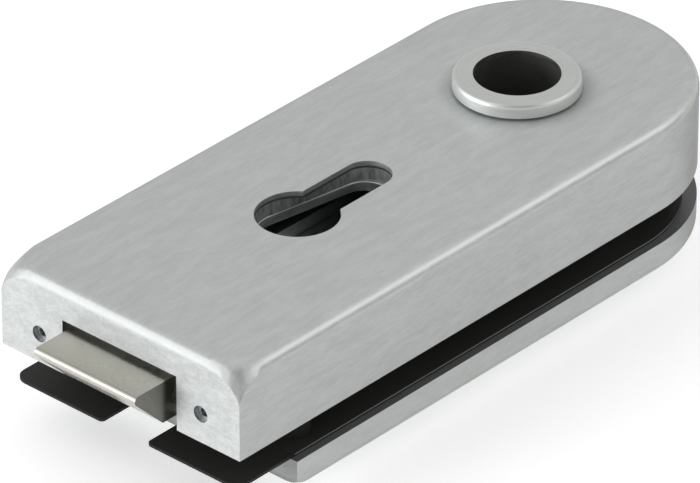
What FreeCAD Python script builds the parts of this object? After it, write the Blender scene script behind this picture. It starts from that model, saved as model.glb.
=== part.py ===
import FreeCAD, Part

import math
import os

import Sketcher

# Glass door lock with counter plate, in millimetres.
# Origin: the cylinder's axis on the case's glass side. +X runs from the latch to the round end,
# +Z runs out of the case. The glass lies below z = 0, and the counter plate lies below the glass.

SIZES = {
    # Case and cover
    "case_width": 64.0,
    "case_height": 19.7,
    "end_to_cylinder": 51.6,
    "cylinder_to_spindle": 66.2,
    "spindle_to_round_centre": 8.1,
    "side_wall": 2.0,
    "end_wall": 2.6,
    "top_wall": 1.6,
    "top_edge_radius": 2.4,
    "corner_setback": 9.0,
    "corner_pull": 1.0,
    "corner_reach": 4.2,
    "corner_lip": 0.02,
    "case_corner_depth": 8.5,
    "plate_corner_depth": 1.4,
    "inner_corner_radius": 3.0,
    # Cylinder cut-out
    "cutout_radius": 8.7,
    "cutout_slot_centre": 20.75,
    "cutout_slot_radius": 5.05,
    "ledge_radius": 8.6,
    "ledge_slot_centre": 20.0,
    "ledge_slot_radius": 5.0,
    # End face
    "opening_width": 30.6,
    "opening_height": 12.4,
    "grub_edge": 10.3,
    "grub_height": 6.5,
    "grub_radius": 1.8,
    "grub_recess": 1.2,
    "grub_length": 6.0,
    "grub_socket": 2.0,
    # Latch
    "latch_width": 27.0,
    "latch_thickness": 9.3,
    "latch_bottom": 1.9,
    "latch_projection": 9.8,
    "latch_head_length": 21.4,
    "latch_nose": 1.5,
    "latch_nose_radius": 1.0,
    "latch_travel": 9.5,
    "tail_width": 10.0,
    "tail_thickness": 3.6,
    "tail_bottom": 5.4,
    "tail_length": 21.5,
    "stud_offset": 9.0,
    "stud_length": 4.0,
    "stud_width": 6.0,
    # Glass gap and counter plate
    "glass_gap": 8.0,
    "plate_setback": 16.4,
    "plate_thickness": 7.0,
    "plate_edge_radius": 2.4,
    # Gaskets
    "upper_gasket": 1.4,
    "upper_gasket_inset": 0.3,
    "lower_gasket": 0.65,
    "lower_gasket_inset": 1.7,
    "lower_gasket_end": 2.0,
    "tab_setback": 1.1,
    "tab_notch_half": 6.0,
    "tab_notch_setback": 13.6,
    "tab_outer_radius": 3.0,
    "tab_inner_radius": 1.0,
    # Frame and steel plates
    "cover_fit": 0.15,
    "frame_wall": 2.2,
    "base_thickness": 2.0,
    "deck_bottom": 15.2,
    "mechanism_plate": 2.2,
    "mechanism_half_width": 17.0,
    "mechanism_front": 27.0,
    "mechanism_rear": 15.0,
    "channel_wall": 2.0,
    "channel_gap": 0.3,
    "channel_rear": 30.0,
    "plate_screw_radius": 1.5,
    "plate_screw_head": 2.7,
    "plate_screw_depth": 4.2,
    "plate_screw_front": 18.0,
    "plate_screw_rear": 48.0,
    "plate_screw_half": 13.5,
    "base_screw_front": 38.5,
    "base_screw_rear": 40.0,
    "base_screw_edge": 6.8,
    "base_screw_boss": 3.0,
    "base_screw_length": 8.0,
    "base_head_depth": 1.3,
    # Clamp screws and sleeves
    "clamp_front": 28.0,
    "clamp_edge": 8.8,
    "clamp_angle": 52.0,
    "clamp_boss": 5.8,
    "clamp_seat": 8.0,
    "clamp_head_radius": 4.2,
    "clamp_head_height": 5.0,
    "clamp_head_socket": 4.0,
    "clamp_shank": 2.5,
    "clamp_hole": 2.75,
    "clamp_length": 20.5,
    "thread_fit": 0.05,
    "sleeve_radius": 4.4,
    "sleeve_bore": 2.6,
    # Handle rings and bushes
    "ring_radius": 13.3,
    "ring_height": 3.6,
    "ring_edge": 1.0,
    "ring_groove_height": 0.6,
    "ring_groove_depth": 0.9,
    "ring_lip": 1.0,
    "ring_hole": 9.05,
    "spigot_radius": 11.8,
    "spigot_depth": 3.1,
    "bush_radius": 10.4,
    "bush_bore": 9.0,
    "bush_fit": 0.05,
    # Follower
    "hub_radius": 9.8,
    "hub_thickness": 6.0,
    "hub_play": 0.2,
    "upper_journal_radius": 9.25,
    "upper_journal_length": 3.0,
    "lower_journal_radius": 8.95,
    "journal_fit": 0.05,
    "spindle_square": 8.1,
    "arm_radius": 15.0,
    "arm_tip": 2.0,
    "arm_thickness": 5.2,
    # Draw slide
    "slide_thickness": 1.8,
    "slide_play": 0.2,
    "slide_front": 36.0,
    "slide_front_half": 12.0,
    "slide_window_front": 19.0,
    "slide_window_rear": 30.0,
    "slide_window_half": 16.2,
    "slide_half_width": 20.0,
    "slide_shoulder": 22.0,
    "slide_cross_bar": 6.0,
    "strip_inner": 11.5,
    "strip_outer": 15.5,
    "strip_neck": 1.6,
    "lug_gap": 0.3,
    "lug_thickness": 2.0,
    "lug_inner": 11.6,
    "lug_outer": 17.0,
    "lug_bottom": 4.5,
    "bridge_gap": 8.7,
    "bridge_length": 4.0,
    "bridge_inner": 9.2,
    "bridge_outer": 12.0,
    "spring_lug_half": 5.0,
    "cam_lug_position": 6.5,
    "cam_lug_length": 1.8,
    "cam_lug_inner": 12.8,
    # Lock slide
    "lock_travel": 10.0,
    "lock_thickness": 3.0,
    "lock_inner": 12.4,
    "lock_outer": 19.0,
    "lock_front": 12.0,
    "lock_rear": 53.8,
    "lock_finger_inner": 14.2,
    "lock_finger_length": 14.0,
    "cam_notch_half": 7.0,
    "cam_notch_root": 16.2,
    "guide_radius": 1.5,
    "guide_line": 16.6,
    "guide_first": 32.0,
    "guide_second": 49.0,
    "guide_fit": 0.06,
    "guide_head": 2.4,
    "guide_head_height": 1.0,
    # Detent spring
    "detent_position": 10.0,
    "detent_depth": 1.2,
    "detent_half": 1.5,
    "detent_fit": 0.25,
    "leaf_thickness": 0.6,
    "leaf_offset": 1.6,
    "leaf_length": 24.0,
    "leaf_height": 2.4,
    "leaf_foot": 6.0,
    "detent_rivet": 1.2,
    "detent_rivet_head": 2.0,
    # Springs
    "abutment_position": 20.5,
    "abutment_thickness": 1.6,
    "abutment_half": 12.6,
    "abutment_top": 10.3,
    "latch_spring_half": 9.0,
    "latch_spring_height": 6.6,
    "latch_spring_mean": 2.6,
    "latch_spring_wire": 0.6,
    "handle_spring_height": 8.2,
    "handle_spring_mean": 3.3,
    "handle_spring_wire": 1.0,
    "spring_end_gap": 0.1,
    # Cylinder screw
    "cylinder_screw_height": 8.0,
    "cylinder_screw_radius": 2.4,
    "cylinder_screw_head": 4.2,
    "cylinder_screw_cone": 1.9,
    "cylinder_screw_gap": 0.5,
    "cylinder_boss_half": 5.0,
    "cylinder_boss_depth": 3.4,
    "cylinder_boss_top": 12.6,
}

CORNER_STEPS = 12
CORNER_POINTS = 9
CORNER_POWER = 1.25
LATCH_SPRING_TURNS = 7
HANDLE_SPRING_TURNS = 7

document = FreeCAD.newDocument("glass_door_lock")
FINISHED = []


# Named lengths

class Dim:
    """A length: its number, and the sheet expression that gives it."""

    def __init__(self, value, text):
        self.value = value
        self.text = text

    def __add__(self, other):
        other = as_dim(other)
        return Dim(self.value + other.value, f"({self.text} + {other.text})")

    def __sub__(self, other):
        other = as_dim(other)
        return Dim(self.value - other.value, f"({self.text} - {other.text})")

    def __mul__(self, factor):
        factor = as_dim(factor)
        return Dim(self.value * factor.value, f"({self.text} * {factor.text})")

    def __truediv__(self, divisor):
        return Dim(self.value / divisor, f"({self.text} / {divisor})")

    def __neg__(self):
        return Dim(-self.value, f"(-1 * {self.text})")


def as_dim(number):
    """Return a length as it is, and a bare number as a length."""
    return number if isinstance(number, Dim) else Dim(float(number), f"{number}")


def cosine(angle):
    return Dim(math.cos(math.radians(angle.value)), f"cos({angle.text} * 1 deg)")


def sine(angle):
    return Dim(math.sin(math.radians(angle.value)), f"sin({angle.text} * 1 deg)")


class Sheet:
    """The sheet of driving dimensions: each alias is an attribute."""

    def __init__(self, sizes):
        self.sizes = sizes
        cells = document.addObject("Spreadsheet::Sheet", "Sizes")
        for row, (alias, value) in enumerate(sizes.items(), start=1):
            cells.set(f"A{row}", alias.replace("_", " "))
            cells.set(f"B{row}", str(value))
            cells.setAlias(f"B{row}", alias)
        document.recompute()

    def __getattr__(self, alias):
        return Dim(self.sizes[alias], f"Sizes.{alias}")


S = Sheet(SIZES)
ZERO = as_dim(0)


# Outlines: closed loops of segments, each with its end point

def line_to(x, y):
    return ("line", as_dim(x), as_dim(y))


def arc_to(x, y, centre_x, centre_y, turn, free):
    """An arc to (x, y): turn is 1 for anticlockwise, free names the end coordinate left to the arc."""
    return ("arc", as_dim(x), as_dim(y), as_dim(centre_x), as_dim(centre_y), turn, free)


def rectangle(x_low, x_high, y_low, y_high):
    return [line_to(x_high, y_low), line_to(x_high, y_high), line_to(x_low, y_high), line_to(x_low, y_low)]


def polygon(points):
    return [line_to(x, y) for x, y in points]


def mirrored_polygon(half):
    """A polygon symmetric about y = 0, from the points of its upper half."""
    return polygon(half + [(x, -as_dim(y)) for x, y in reversed(half)])


def circle(x, y, radius):
    return ("circle", as_dim(x), as_dim(y), as_dim(radius))


def round_ended(x_flat, x_centre, half):
    """The lock's own outline: a flat end, two long sides and a half-round end."""
    return [
        line_to(x_centre, -half),
        arc_to(x_centre, half, x_centre, ZERO, 1, "y"),
        line_to(x_flat, half),
        line_to(x_flat, -half),
    ]


def soft_ended(x_flat, x_centre, half, corner, notch=()):
    """The same outline with the flat end's corners rounded; notch lists points of a cut in that end."""
    return [
        line_to(x_centre, -half),
        arc_to(x_centre, half, x_centre, ZERO, 1, "y"),
        line_to(x_flat + corner, half),
        arc_to(x_flat, half - corner, x_flat + corner, half - corner, 1, "x"),
        *[line_to(x, y) for x, y in notch],
        line_to(x_flat, -half + corner),
        arc_to(x_flat + corner, -half, x_flat + corner, -half + corner, 1, "y"),
    ]


def latch_notch(x_flat):
    """The cut in a plate's flat end that the latch runs in."""
    root = -S.channel_rear
    return [(x_flat, channel_half), (root, channel_half), (root, -channel_half), (x_flat, -channel_half)]


def euro_profile(radius, slot_centre, slot_radius):
    """The profile cylinder's outline: a round part at the origin with a slot towards +X."""
    neck = Dim(
        math.sqrt(radius.value ** 2 - slot_radius.value ** 2),
        f"sqrt({radius.text} ^ 2 - {slot_radius.text} ^ 2)",
    )
    return [
        line_to(slot_centre, -slot_radius),
        arc_to(slot_centre, slot_radius, slot_centre, ZERO, 1, "y"),
        line_to(neck, slot_radius),
        arc_to(neck, -slot_radius, ZERO, ZERO, 1, "x"),
    ]


def drop_profile(radius, slot_centre, slot_radius):
    """The same round part and slot end, joined by their outer tangents."""
    lean = Dim(
        (radius.value - slot_radius.value) / slot_centre.value,
        f"(({radius.text} - {slot_radius.text}) / {slot_centre.text})",
    )
    level = Dim(math.sqrt(1 - lean.value ** 2), f"sqrt(1 - {lean.text} ^ 2)")
    near_x, near_half = radius * lean, radius * level
    far_x, far_half = slot_centre + slot_radius * lean, slot_radius * level
    return [
        line_to(far_x, -far_half),
        arc_to(far_x, far_half, slot_centre, ZERO, 1, "y"),
        line_to(near_x, near_half),
        arc_to(near_x, -near_half, ZERO, ZERO, 1, "x"),
    ]


# Places that more than one piece uses

end_face_x = -S.end_to_cylinder
spindle_x = S.cylinder_to_spindle
round_centre_x = spindle_x + S.spindle_to_round_centre
half_width = S.case_width / 2
case_top = S.case_height
cover_inner_end = end_face_x + S.end_wall
cover_inner_half = half_width - S.side_wall
cover_inner_top = case_top - S.top_wall
frame_end = cover_inner_end + S.cover_fit
frame_half = cover_inner_half - S.cover_fit
room_end = frame_end + S.frame_wall
room_half = frame_half - S.frame_wall
room_rear = round_centre_x + room_half
base_bottom = S.upper_gasket
base_top = base_bottom + S.base_thickness
plate_top = -S.glass_gap
plate_bottom = plate_top - S.plate_thickness
plate_end_x = end_face_x + S.plate_setback
lower_gasket_top = plate_top + S.lower_gasket
mechanism_bottom = S.deck_bottom - S.mechanism_plate
slide_top = mechanism_bottom - S.slide_play
slide_bottom = slide_top - S.slide_thickness
latch_tip_x = end_face_x - S.latch_projection
latch_rear_x = latch_tip_x + S.latch_head_length
latch_top = S.latch_bottom + S.latch_thickness
latch_half = S.latch_width / 2
stud_front = latch_rear_x + S.stud_offset
channel_half = latch_half + S.channel_gap
hub_bottom = base_top + S.hub_play
hub_top = hub_bottom + S.hub_thickness
journal_top = hub_top + S.upper_journal_length
bush_bottom = hub_top + S.hub_play
lug_x = spindle_x + S.arm_tip + S.lug_gap
bridge_front = lug_x + S.bridge_gap
bridge_rear = bridge_front + S.bridge_length
ring_top = case_top + S.ring_height
ring_bottom = plate_bottom - S.ring_height
lock_bottom = base_top + S.slide_play
lock_top = lock_bottom + S.lock_thickness
clamp_half = half_width - S.clamp_edge
clamp_rear_x = round_centre_x + clamp_half * cosine(S.clamp_angle)
clamp_rear_half = clamp_half * sine(S.clamp_angle)
base_screw_half = half_width - S.base_screw_edge
grub_half = half_width - S.grub_edge
CLAMP_POINTS = [
    (-S.clamp_front, clamp_half),
    (-S.clamp_front, -clamp_half),
    (clamp_rear_x, clamp_rear_half),
    (clamp_rear_x, -clamp_rear_half),
]
PLATE_SCREW_POINTS = [
    (x, y)
    for x in (-S.plate_screw_front, S.plate_screw_rear)
    for y in (S.plate_screw_half, -S.plate_screw_half)
]
BASE_SCREW_POINTS = [
    (x, y)
    for x in (-S.base_screw_front, S.base_screw_rear)
    for y in (base_screw_half, -base_screw_half)
]
GRUB_POINTS = [(grub_half, S.grub_height), (-grub_half, S.grub_height)]
GUIDE_POINTS = [(S.guide_first, S.guide_line), (S.guide_second, S.guide_line)]


# Pieces: one body each, its features added in order

class Piece:
    """One sub-part, named as its file is."""

    def __init__(self, name, many=False, finished=True):
        self.body = document.addObject("PartDesign::Body", name)
        self.body.Label = name
        self.body.AllowCompound = many
        self.count = 0
        if finished:
            FINISHED.append(self.body)

    def name(self, kind):
        self.count += 1
        return f"{self.body.Name}_{kind}_{self.count}"

    def shape(self):
        document.recompute()
        return self.body.Tip.Shape

    def sketch(self, plane, offset, loops, shift=None):
        """Draw closed loops on one of the body's planes, offset along its normal."""
        sketch = self.body.newObject("Sketcher::SketchObject", self.name("sketch"))
        support = [f for f in self.body.Origin.OriginFeatures if f.Role == f"{plane}_Plane"][0]
        sketch.AttachmentSupport = [(support, "")]
        sketch.MapMode = "FlatFace"
        sketch.setExpression("AttachmentOffset.Base.z", offset.text)
        if shift is not None:
            sketch.setExpression("AttachmentOffset.Base.x", shift.text)
        for loop in loops:
            if loop[0] == "circle":
                draw_circle(sketch, *loop[1:])
            else:
                draw_loop(sketch, loop)
        return sketch

    def pad(self, loops, low, high, plane="XY"):
        """Add material between two levels along the plane's axis."""
        low, high = as_dim(low), as_dim(high)
        offset = -high if plane == "XZ" else low
        pad = self.body.newObject("PartDesign::Pad", self.name("pad"))
        pad.Profile = self.sketch(plane, offset, loops)
        pad.setExpression("Length", (high - low).text)
        document.recompute()
        return self

    def pocket(self, loops, low, high, plane="XY"):
        """Cut material away between two levels along the plane's axis."""
        low, high = as_dim(low), as_dim(high)
        offset = -low if plane == "XZ" else high
        before = self.shape().Volume
        pocket = self.body.newObject("PartDesign::Pocket", self.name("pocket"))
        pocket.Profile = self.sketch(plane, offset, loops)
        pocket.setExpression("Length", (high - low).text)
        if self.shape().Volume >= before:
            raise ValueError(f"{pocket.Name} cuts nothing")
        return self

    def turn(self, profile, axis_x, kind="Revolution"):
        """Revolve a profile of radius and height about the vertical axis at axis_x."""
        feature = self.body.newObject(f"PartDesign::{kind}", self.name(kind.lower()))
        sketch = self.sketch("XZ", ZERO, [profile], shift=axis_x)
        feature.Profile = sketch
        feature.ReferenceAxis = (sketch, ["V_Axis"])
        feature.Angle = 360
        document.recompute()
        return self

    def soften(self, kind, size, choose):
        """Round or bevel the edges that choose accepts."""
        shape = self.shape()
        names = [f"Edge{i}" for i, edge in enumerate(shape.Edges, start=1) if choose(edge)]
        feature = self.body.newObject(f"PartDesign::{kind}", self.name(kind.lower()))
        feature.Base = (self.body.Tip if self.body.Tip is not feature else feature.BaseFeature, names)
        feature.setExpression("Radius" if kind == "Fillet" else "Size", size.text)
        document.recompute()
        return self


def constrain(sketch, geometry, point, x, y):
    """Place a point of the sketch from the sketch's origin; None leaves a coordinate free."""
    for kind, length in (("DistanceX", x), ("DistanceY", y)):
        if length is not None:
            index = sketch.addConstraint(Sketcher.Constraint(kind, -1, 1, geometry, point, length.value))
            sketch.setExpression(f"Constraints[{index}]", length.text)


def draw_circle(sketch, x, y, radius):
    round_edge = Part.Circle(FreeCAD.Vector(x.value, y.value, 0), FreeCAD.Vector(0, 0, 1), radius.value)
    geometry = sketch.addGeometry(round_edge)
    constrain(sketch, geometry, 3, x, y)
    index = sketch.addConstraint(Sketcher.Constraint("Radius", geometry, radius.value))
    sketch.setExpression(f"Constraints[{index}]", radius.text)


def draw_loop(sketch, loop):
    """Draw a closed loop of lines and arcs; it starts where its last segment ends."""
    ends = []
    start_x, start_y = loop[-1][1], loop[-1][2]
    for segment in loop:
        end_x, end_y = segment[1], segment[2]
        start = FreeCAD.Vector(start_x.value, start_y.value, 0)
        end = FreeCAD.Vector(end_x.value, end_y.value, 0)
        if segment[0] == "line":
            geometry = sketch.addGeometry(Part.LineSegment(start, end))
            ends.append((geometry, 1, 2))
            constrain(sketch, geometry, 2, end_x, end_y)
        else:
            centre = FreeCAD.Vector(segment[3].value, segment[4].value, 0)
            turn, free = segment[5], segment[6]
            first, last = (start, end) if turn > 0 else (end, start)
            angles = [math.atan2(p.y - centre.y, p.x - centre.x) for p in (first, last)]
            if angles[1] <= angles[0]:
                angles[1] += 2 * math.pi
            round_edge = Part.Circle(centre, FreeCAD.Vector(0, 0, 1), (start - centre).Length)
            geometry = sketch.addGeometry(Part.ArcOfCircle(round_edge, *angles))
            points = (1, 2) if turn > 0 else (2, 1)
            ends.append((geometry, *points))
            constrain(sketch, geometry, 3, segment[3], segment[4])
            constrain(sketch, geometry, points[1], None if free == "x" else end_x,
                      None if free == "y" else end_y)
        start_x, start_y = end_x, end_y
    for (geometry, _, end_point), (following, start_point, _) in zip(ends, ends[1:] + ends[:1]):
        sketch.addConstraint(Sketcher.Constraint("Coincident", geometry, end_point, following, start_point))


def level_edge(level):
    """Choose the edges that lie at one height."""
    def choose(edge):
        box = edge.BoundBox
        return abs(box.ZMin - level.value) < 1e-4 and abs(box.ZMax - level.value) < 1e-4
    return choose


def corner_section(corner, inward, angle, level, up, depth):
    """A closed outline across the corner, in a vertical plane about the set-back axis.

    The outline's arc starts as the plain edge rounding, at 0 and 90 degrees, and grows into a deep
    ellipse on the diagonal. The ellipse ends outside the walls, so they stay sharp below it.
    """
    radius, setback = S.top_edge_radius.value, S.corner_setback.value
    share = math.sin(2 * angle) ** 2
    lip = S.corner_lip.value * (1 - share)
    centre = setback - radius - S.corner_pull.value * share
    end = setback + S.corner_reach.value * share ** CORNER_POWER
    drop = radius + depth.value * share
    outside = end + S.corner_setback.value / 9

    def at(distance, below):
        x = corner[0] + inward[0] * (setback - distance * math.cos(angle))
        y = corner[1] + inward[1] * (setback - distance * math.sin(angle))
        return FreeCAD.Vector(x, y, level - up * below)

    arc = Part.BSplineCurve()
    turns = [math.pi / 2 * k / (CORNER_POINTS - 1) for k in range(CORNER_POINTS)]
    arc.interpolate([
        at(centre + (end - centre + lip) * math.cos(turn), drop - (drop + lip) * math.sin(turn))
        for turn in turns
    ])
    rest = [at(centre, -lip), at(centre, -radius), at(outside, -radius), at(outside, drop),
            at(end + lip, drop)]
    return Part.Wire([arc.toShape()] + Part.makePolygon(rest).Edges)


def corner_cutters(name, end_x, level, up, depth):
    """Cutters that melt the rounded edge into the two corners of the flat end."""
    lofts = []
    for side in (1, -1):
        corner, inward = (end_x.value, half_width.value * side), (1, -side)
        sections = [
            corner_section(corner, inward, math.pi / 2 * k / CORNER_STEPS, level.value, up, depth)
            for k in range(CORNER_STEPS + 1)
        ]
        lofts.append(Part.makeLoft(sections, True, False))
    feature = document.addObject("Part::Feature", name)
    feature.Shape = Part.makeCompound(lofts)
    feature.Placement = FreeCAD.Placement()
    return feature


def melt_corners(piece, name, end_x, level, up, depth):
    """Cut the two corners of the flat end from a finished body, as the piece of that name."""
    cut = document.addObject("Part::Cut", name)
    cut.Label = name
    cut.Base = piece.body
    cut.Tool = corner_cutters(name + "_corners", end_x, level, up, depth)
    cut.Refine = False
    document.recompute()
    FINISHED.append(cut)


def case_cover():
    """Brushed cover: rounded top edges, open to the glass, with its cut-outs."""
    piece = Piece("case_cover_blank", finished=False)
    piece.pad([round_ended(end_face_x, round_centre_x, half_width)], ZERO, case_top)
    piece.soften("Fillet", S.top_edge_radius, level_edge(case_top))
    cavity = soft_ended(cover_inner_end, round_centre_x, cover_inner_half, S.inner_corner_radius)
    piece.pocket([cavity], ZERO, cover_inner_top)
    cut_out = euro_profile(S.cutout_radius, S.cutout_slot_centre, S.cutout_slot_radius)
    ring_hole = circle(spindle_x, ZERO, S.spigot_radius + S.thread_fit)
    piece.pocket([cut_out, ring_hole], cover_inner_top, case_top)
    opening_half = S.opening_width / 2
    opening = rectangle(end_face_x, cover_inner_end, -opening_half, opening_half)
    piece.pocket([opening], ZERO, S.opening_height)
    holes = [circle(y, z, S.grub_radius) for y, z in GRUB_POINTS]
    piece.pocket(holes, end_face_x, cover_inner_end, plane="YZ")
    melt_corners(piece, "case_cover", end_face_x, case_top, 1, S.case_corner_depth)


def cover_grub_screws():
    """Two grub screws with hexagon sockets, sunk in the end face."""
    piece = Piece("cover_grub_screws", many=True)
    front = end_face_x + S.grub_recess
    radius = S.grub_radius - S.thread_fit
    piece.pad([circle(y, z, radius) for y, z in GRUB_POINTS], front, front + S.grub_length, plane="YZ")
    sockets = [hexagon(y, z, S.grub_socket) for y, z in GRUB_POINTS]
    piece.pocket(sockets, front, front + S.grub_socket, plane="YZ")


def hexagon(x, y, across):
    """A hexagon of the given width across its flats, about (x, y)."""
    corner = across / 2 / math.cos(math.pi / 6)
    return polygon([
        (x + corner * math.cos(k * math.pi / 3), y + corner * math.sin(k * math.pi / 3)) for k in range(6)
    ])


def lock_frame():
    """Die-cast frame: deck, walls, latch channel and screw bosses."""
    piece = Piece("lock_frame")
    outline = soft_ended(frame_end, round_centre_x, frame_half, S.inner_corner_radius)
    piece.pad([outline], base_top, cover_inner_top)
    piece.pocket([round_ended(room_end, round_centre_x, room_half)], base_top, S.deck_bottom)
    wall_end = -S.channel_rear
    for side in (1, -1):
        near, far = channel_half * side, (channel_half + S.channel_wall) * side
        low, high = (near, far) if side > 0 else (far, near)
        piece.pad([rectangle(room_end, wall_end, low, high)], base_top, S.deck_bottom)
    bosses = [circle(x, y, S.clamp_boss) for x, y in CLAMP_POINTS]
    for boss in bosses:
        piece.pad([boss], base_top, S.deck_bottom)
    for x, y in BASE_SCREW_POINTS:
        piece.pad([circle(x, y, S.base_screw_boss)], base_top, S.deck_bottom)
    for y, z in GRUB_POINTS:
        half = S.grub_radius * 2
        piece.pad([rectangle(room_end, room_end + S.grub_recess * 3, y - half, y + half)],
                  base_top, z + half)
    boss_low = -room_half
    piece.pad([rectangle(S.cutout_slot_centre - S.cylinder_boss_half, S.cutout_slot_centre
                         + S.cylinder_boss_half, boss_low, boss_low + S.cylinder_boss_depth)],
              base_top, S.cylinder_boss_top)
    piece.pocket([rectangle(frame_end, room_end, -channel_half, channel_half)], base_top,
                 latch_top + S.channel_gap)
    cut_out = drop_profile(S.cutout_radius, S.cutout_slot_centre, S.cutout_slot_radius)
    piece.pocket([cut_out, circle(spindle_x, ZERO, S.bush_radius + S.bush_fit)], S.deck_bottom,
                 cover_inner_top)
    piece.pocket([circle(spindle_x, ZERO, S.spigot_radius + S.thread_fit)], case_top - S.spigot_depth
                 - S.thread_fit, cover_inner_top)
    heads = [circle(x, y, S.clamp_head_radius + S.cover_fit) for x, y in CLAMP_POINTS]
    piece.pocket(heads, S.clamp_seat, cover_inner_top)
    piece.pocket([circle(x, y, S.clamp_hole) for x, y in CLAMP_POINTS], base_top, S.clamp_seat)
    piece.pocket([circle(y, z, S.grub_radius) for y, z in GRUB_POINTS], frame_end,
                 end_face_x + S.grub_recess + S.grub_length, plane="YZ")
    threads = [circle(x, y, S.plate_screw_radius + S.thread_fit) for x, y in PLATE_SCREW_POINTS]
    piece.pocket(threads, S.deck_bottom, mechanism_bottom + S.plate_screw_depth + S.thread_fit)
    threads = [circle(x, y, S.plate_screw_radius + S.thread_fit) for x, y in BASE_SCREW_POINTS]
    piece.pocket(threads, base_top, base_bottom + S.base_screw_length + S.thread_fit)
    hole = circle(S.cutout_slot_centre, S.cylinder_screw_height, S.cylinder_screw_radius + S.thread_fit)
    piece.pocket([hole], -frame_half, boss_low + S.cylinder_boss_depth, plane="XZ")
    head = circle(S.cutout_slot_centre, S.cylinder_screw_height, S.cylinder_screw_head + S.thread_fit)
    piece.pocket([head], -frame_half, -frame_half + S.cylinder_screw_cone, plane="XZ")


def mechanism_plate():
    """Steel plate under the deck, its cut-out a little tighter at the slot's end than the cover's."""
    piece = Piece("mechanism_plate")
    rear = round_centre_x + S.mechanism_rear
    outline = rectangle(-S.mechanism_front, rear, -S.mechanism_half_width, S.mechanism_half_width)
    piece.pad([outline], mechanism_bottom, S.deck_bottom)
    ledge = drop_profile(S.ledge_radius, S.ledge_slot_centre, S.ledge_slot_radius)
    bore = circle(spindle_x, ZERO, S.bush_radius + S.bush_fit)
    shanks = [circle(x, y, S.plate_screw_radius + S.thread_fit) for x, y in PLATE_SCREW_POINTS]
    piece.pocket([ledge, bore] + shanks, mechanism_bottom, S.deck_bottom)
    for x, y in CLAMP_POINTS[2:]:
        piece.pocket([circle(x, y, S.clamp_boss + S.cover_fit)], mechanism_bottom, S.deck_bottom)
    heads = [circle(x, y, S.plate_screw_head + S.thread_fit) for x, y in PLATE_SCREW_POINTS]
    piece.pocket(heads, mechanism_bottom, mechanism_bottom + S.base_head_depth)


def mechanism_plate_screws():
    """Four screws from the mechanism plate up into the deck."""
    piece = Piece("mechanism_plate_screws", many=True)
    heads = [circle(x, y, S.plate_screw_head) for x, y in PLATE_SCREW_POINTS]
    piece.pad(heads, mechanism_bottom, mechanism_bottom + S.base_head_depth)
    shanks = [circle(x, y, S.plate_screw_radius) for x, y in PLATE_SCREW_POINTS]
    piece.pad(shanks, mechanism_bottom + S.base_head_depth, mechanism_bottom + S.plate_screw_depth)


def base_plate():
    """Steel plate on the glass side, notched for the latch; its upright carries the tail."""
    piece = Piece("base_plate")
    outline = soft_ended(frame_end, round_centre_x, frame_half, S.inner_corner_radius,
                         latch_notch(frame_end))
    piece.pad([outline], base_bottom, base_top)
    abutment_end = -S.abutment_position + S.abutment_thickness
    abutment = rectangle(-S.abutment_position, abutment_end, -S.abutment_half, S.abutment_half)
    piece.pad([abutment], base_top, S.abutment_top)
    slot_half = S.tail_width / 2 + S.slide_play
    slot = rectangle(-S.abutment_position, abutment_end, -slot_half, slot_half)
    piece.pocket([slot], S.tail_bottom - S.slide_play, S.abutment_top)
    cut_out = euro_profile(S.cutout_radius, S.cutout_slot_centre, S.cutout_slot_radius)
    bore = circle(spindle_x, ZERO, S.lower_journal_radius + S.journal_fit)
    holes = [circle(x, y, S.clamp_hole) for x, y in CLAMP_POINTS]
    holes += [circle(x, y, S.plate_screw_radius + S.thread_fit) for x, y in BASE_SCREW_POINTS]
    holes += [circle(x, y, S.guide_radius) for x, y in GUIDE_POINTS]
    piece.pocket([cut_out, bore] + holes, base_bottom, base_top)
    heads = [circle(x, y, S.plate_screw_head + S.thread_fit) for x, y in BASE_SCREW_POINTS]
    piece.pocket(heads, base_bottom, base_bottom + S.base_head_depth)


def base_plate_screws():
    """Four screws from the glass side up into the frame's bosses."""
    piece = Piece("base_plate_screws", many=True)
    heads = [circle(x, y, S.plate_screw_head) for x, y in BASE_SCREW_POINTS]
    piece.pad(heads, base_bottom, base_bottom + S.base_head_depth)
    shanks = [circle(x, y, S.plate_screw_radius) for x, y in BASE_SCREW_POINTS]
    piece.pad(shanks, base_bottom + S.base_head_depth, base_bottom + S.base_screw_length)


def upper_gasket():
    """Rubber pad between the base plate and the glass."""
    piece = Piece("upper_gasket")
    end = cover_inner_end + S.upper_gasket_inset
    half = cover_inner_half - S.upper_gasket_inset
    outline = soft_ended(end, round_centre_x, half, S.inner_corner_radius, latch_notch(end))
    piece.pad([outline], ZERO, base_bottom)
    cut_out = euro_profile(S.cutout_radius, S.cutout_slot_centre, S.cutout_slot_radius)
    bore = circle(spindle_x, ZERO, S.bush_radius + S.bush_fit)
    holes = [circle(x, y, S.clamp_hole) for x, y in CLAMP_POINTS]
    piece.pocket([cut_out, bore] + holes, ZERO, base_bottom)


def latch_bolt():
    """Bevelled latch: flat on top, with a tail and a stud that the draw slide holds."""
    piece = Piece("latch_bolt")
    nose_bottom = latch_top - S.latch_nose
    bevel_end = latch_tip_x + (nose_bottom - S.latch_bottom)
    outline = polygon([
        (latch_tip_x, nose_bottom),
        (bevel_end, S.latch_bottom),
        (latch_rear_x, S.latch_bottom),
        (latch_rear_x, latch_top),
        (latch_tip_x, latch_top),
    ])
    piece.pad([outline], -latch_half, latch_half, plane="XZ")
    nose = latch_tip_x.value
    piece.soften("Fillet", S.latch_nose_radius, lambda edge: is_crosswise(edge, nose))
    tail_end = latch_rear_x + S.tail_length
    tail_half = S.tail_width / 2
    tail_top = S.tail_bottom + S.tail_thickness
    piece.pad([rectangle(latch_rear_x, tail_end, -tail_half, tail_half)], S.tail_bottom, tail_top)
    stud_half = S.stud_width / 2
    stud = rectangle(stud_front, stud_front + S.stud_length, -stud_half, stud_half)
    piece.pad([stud], tail_top, slide_top)


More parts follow.
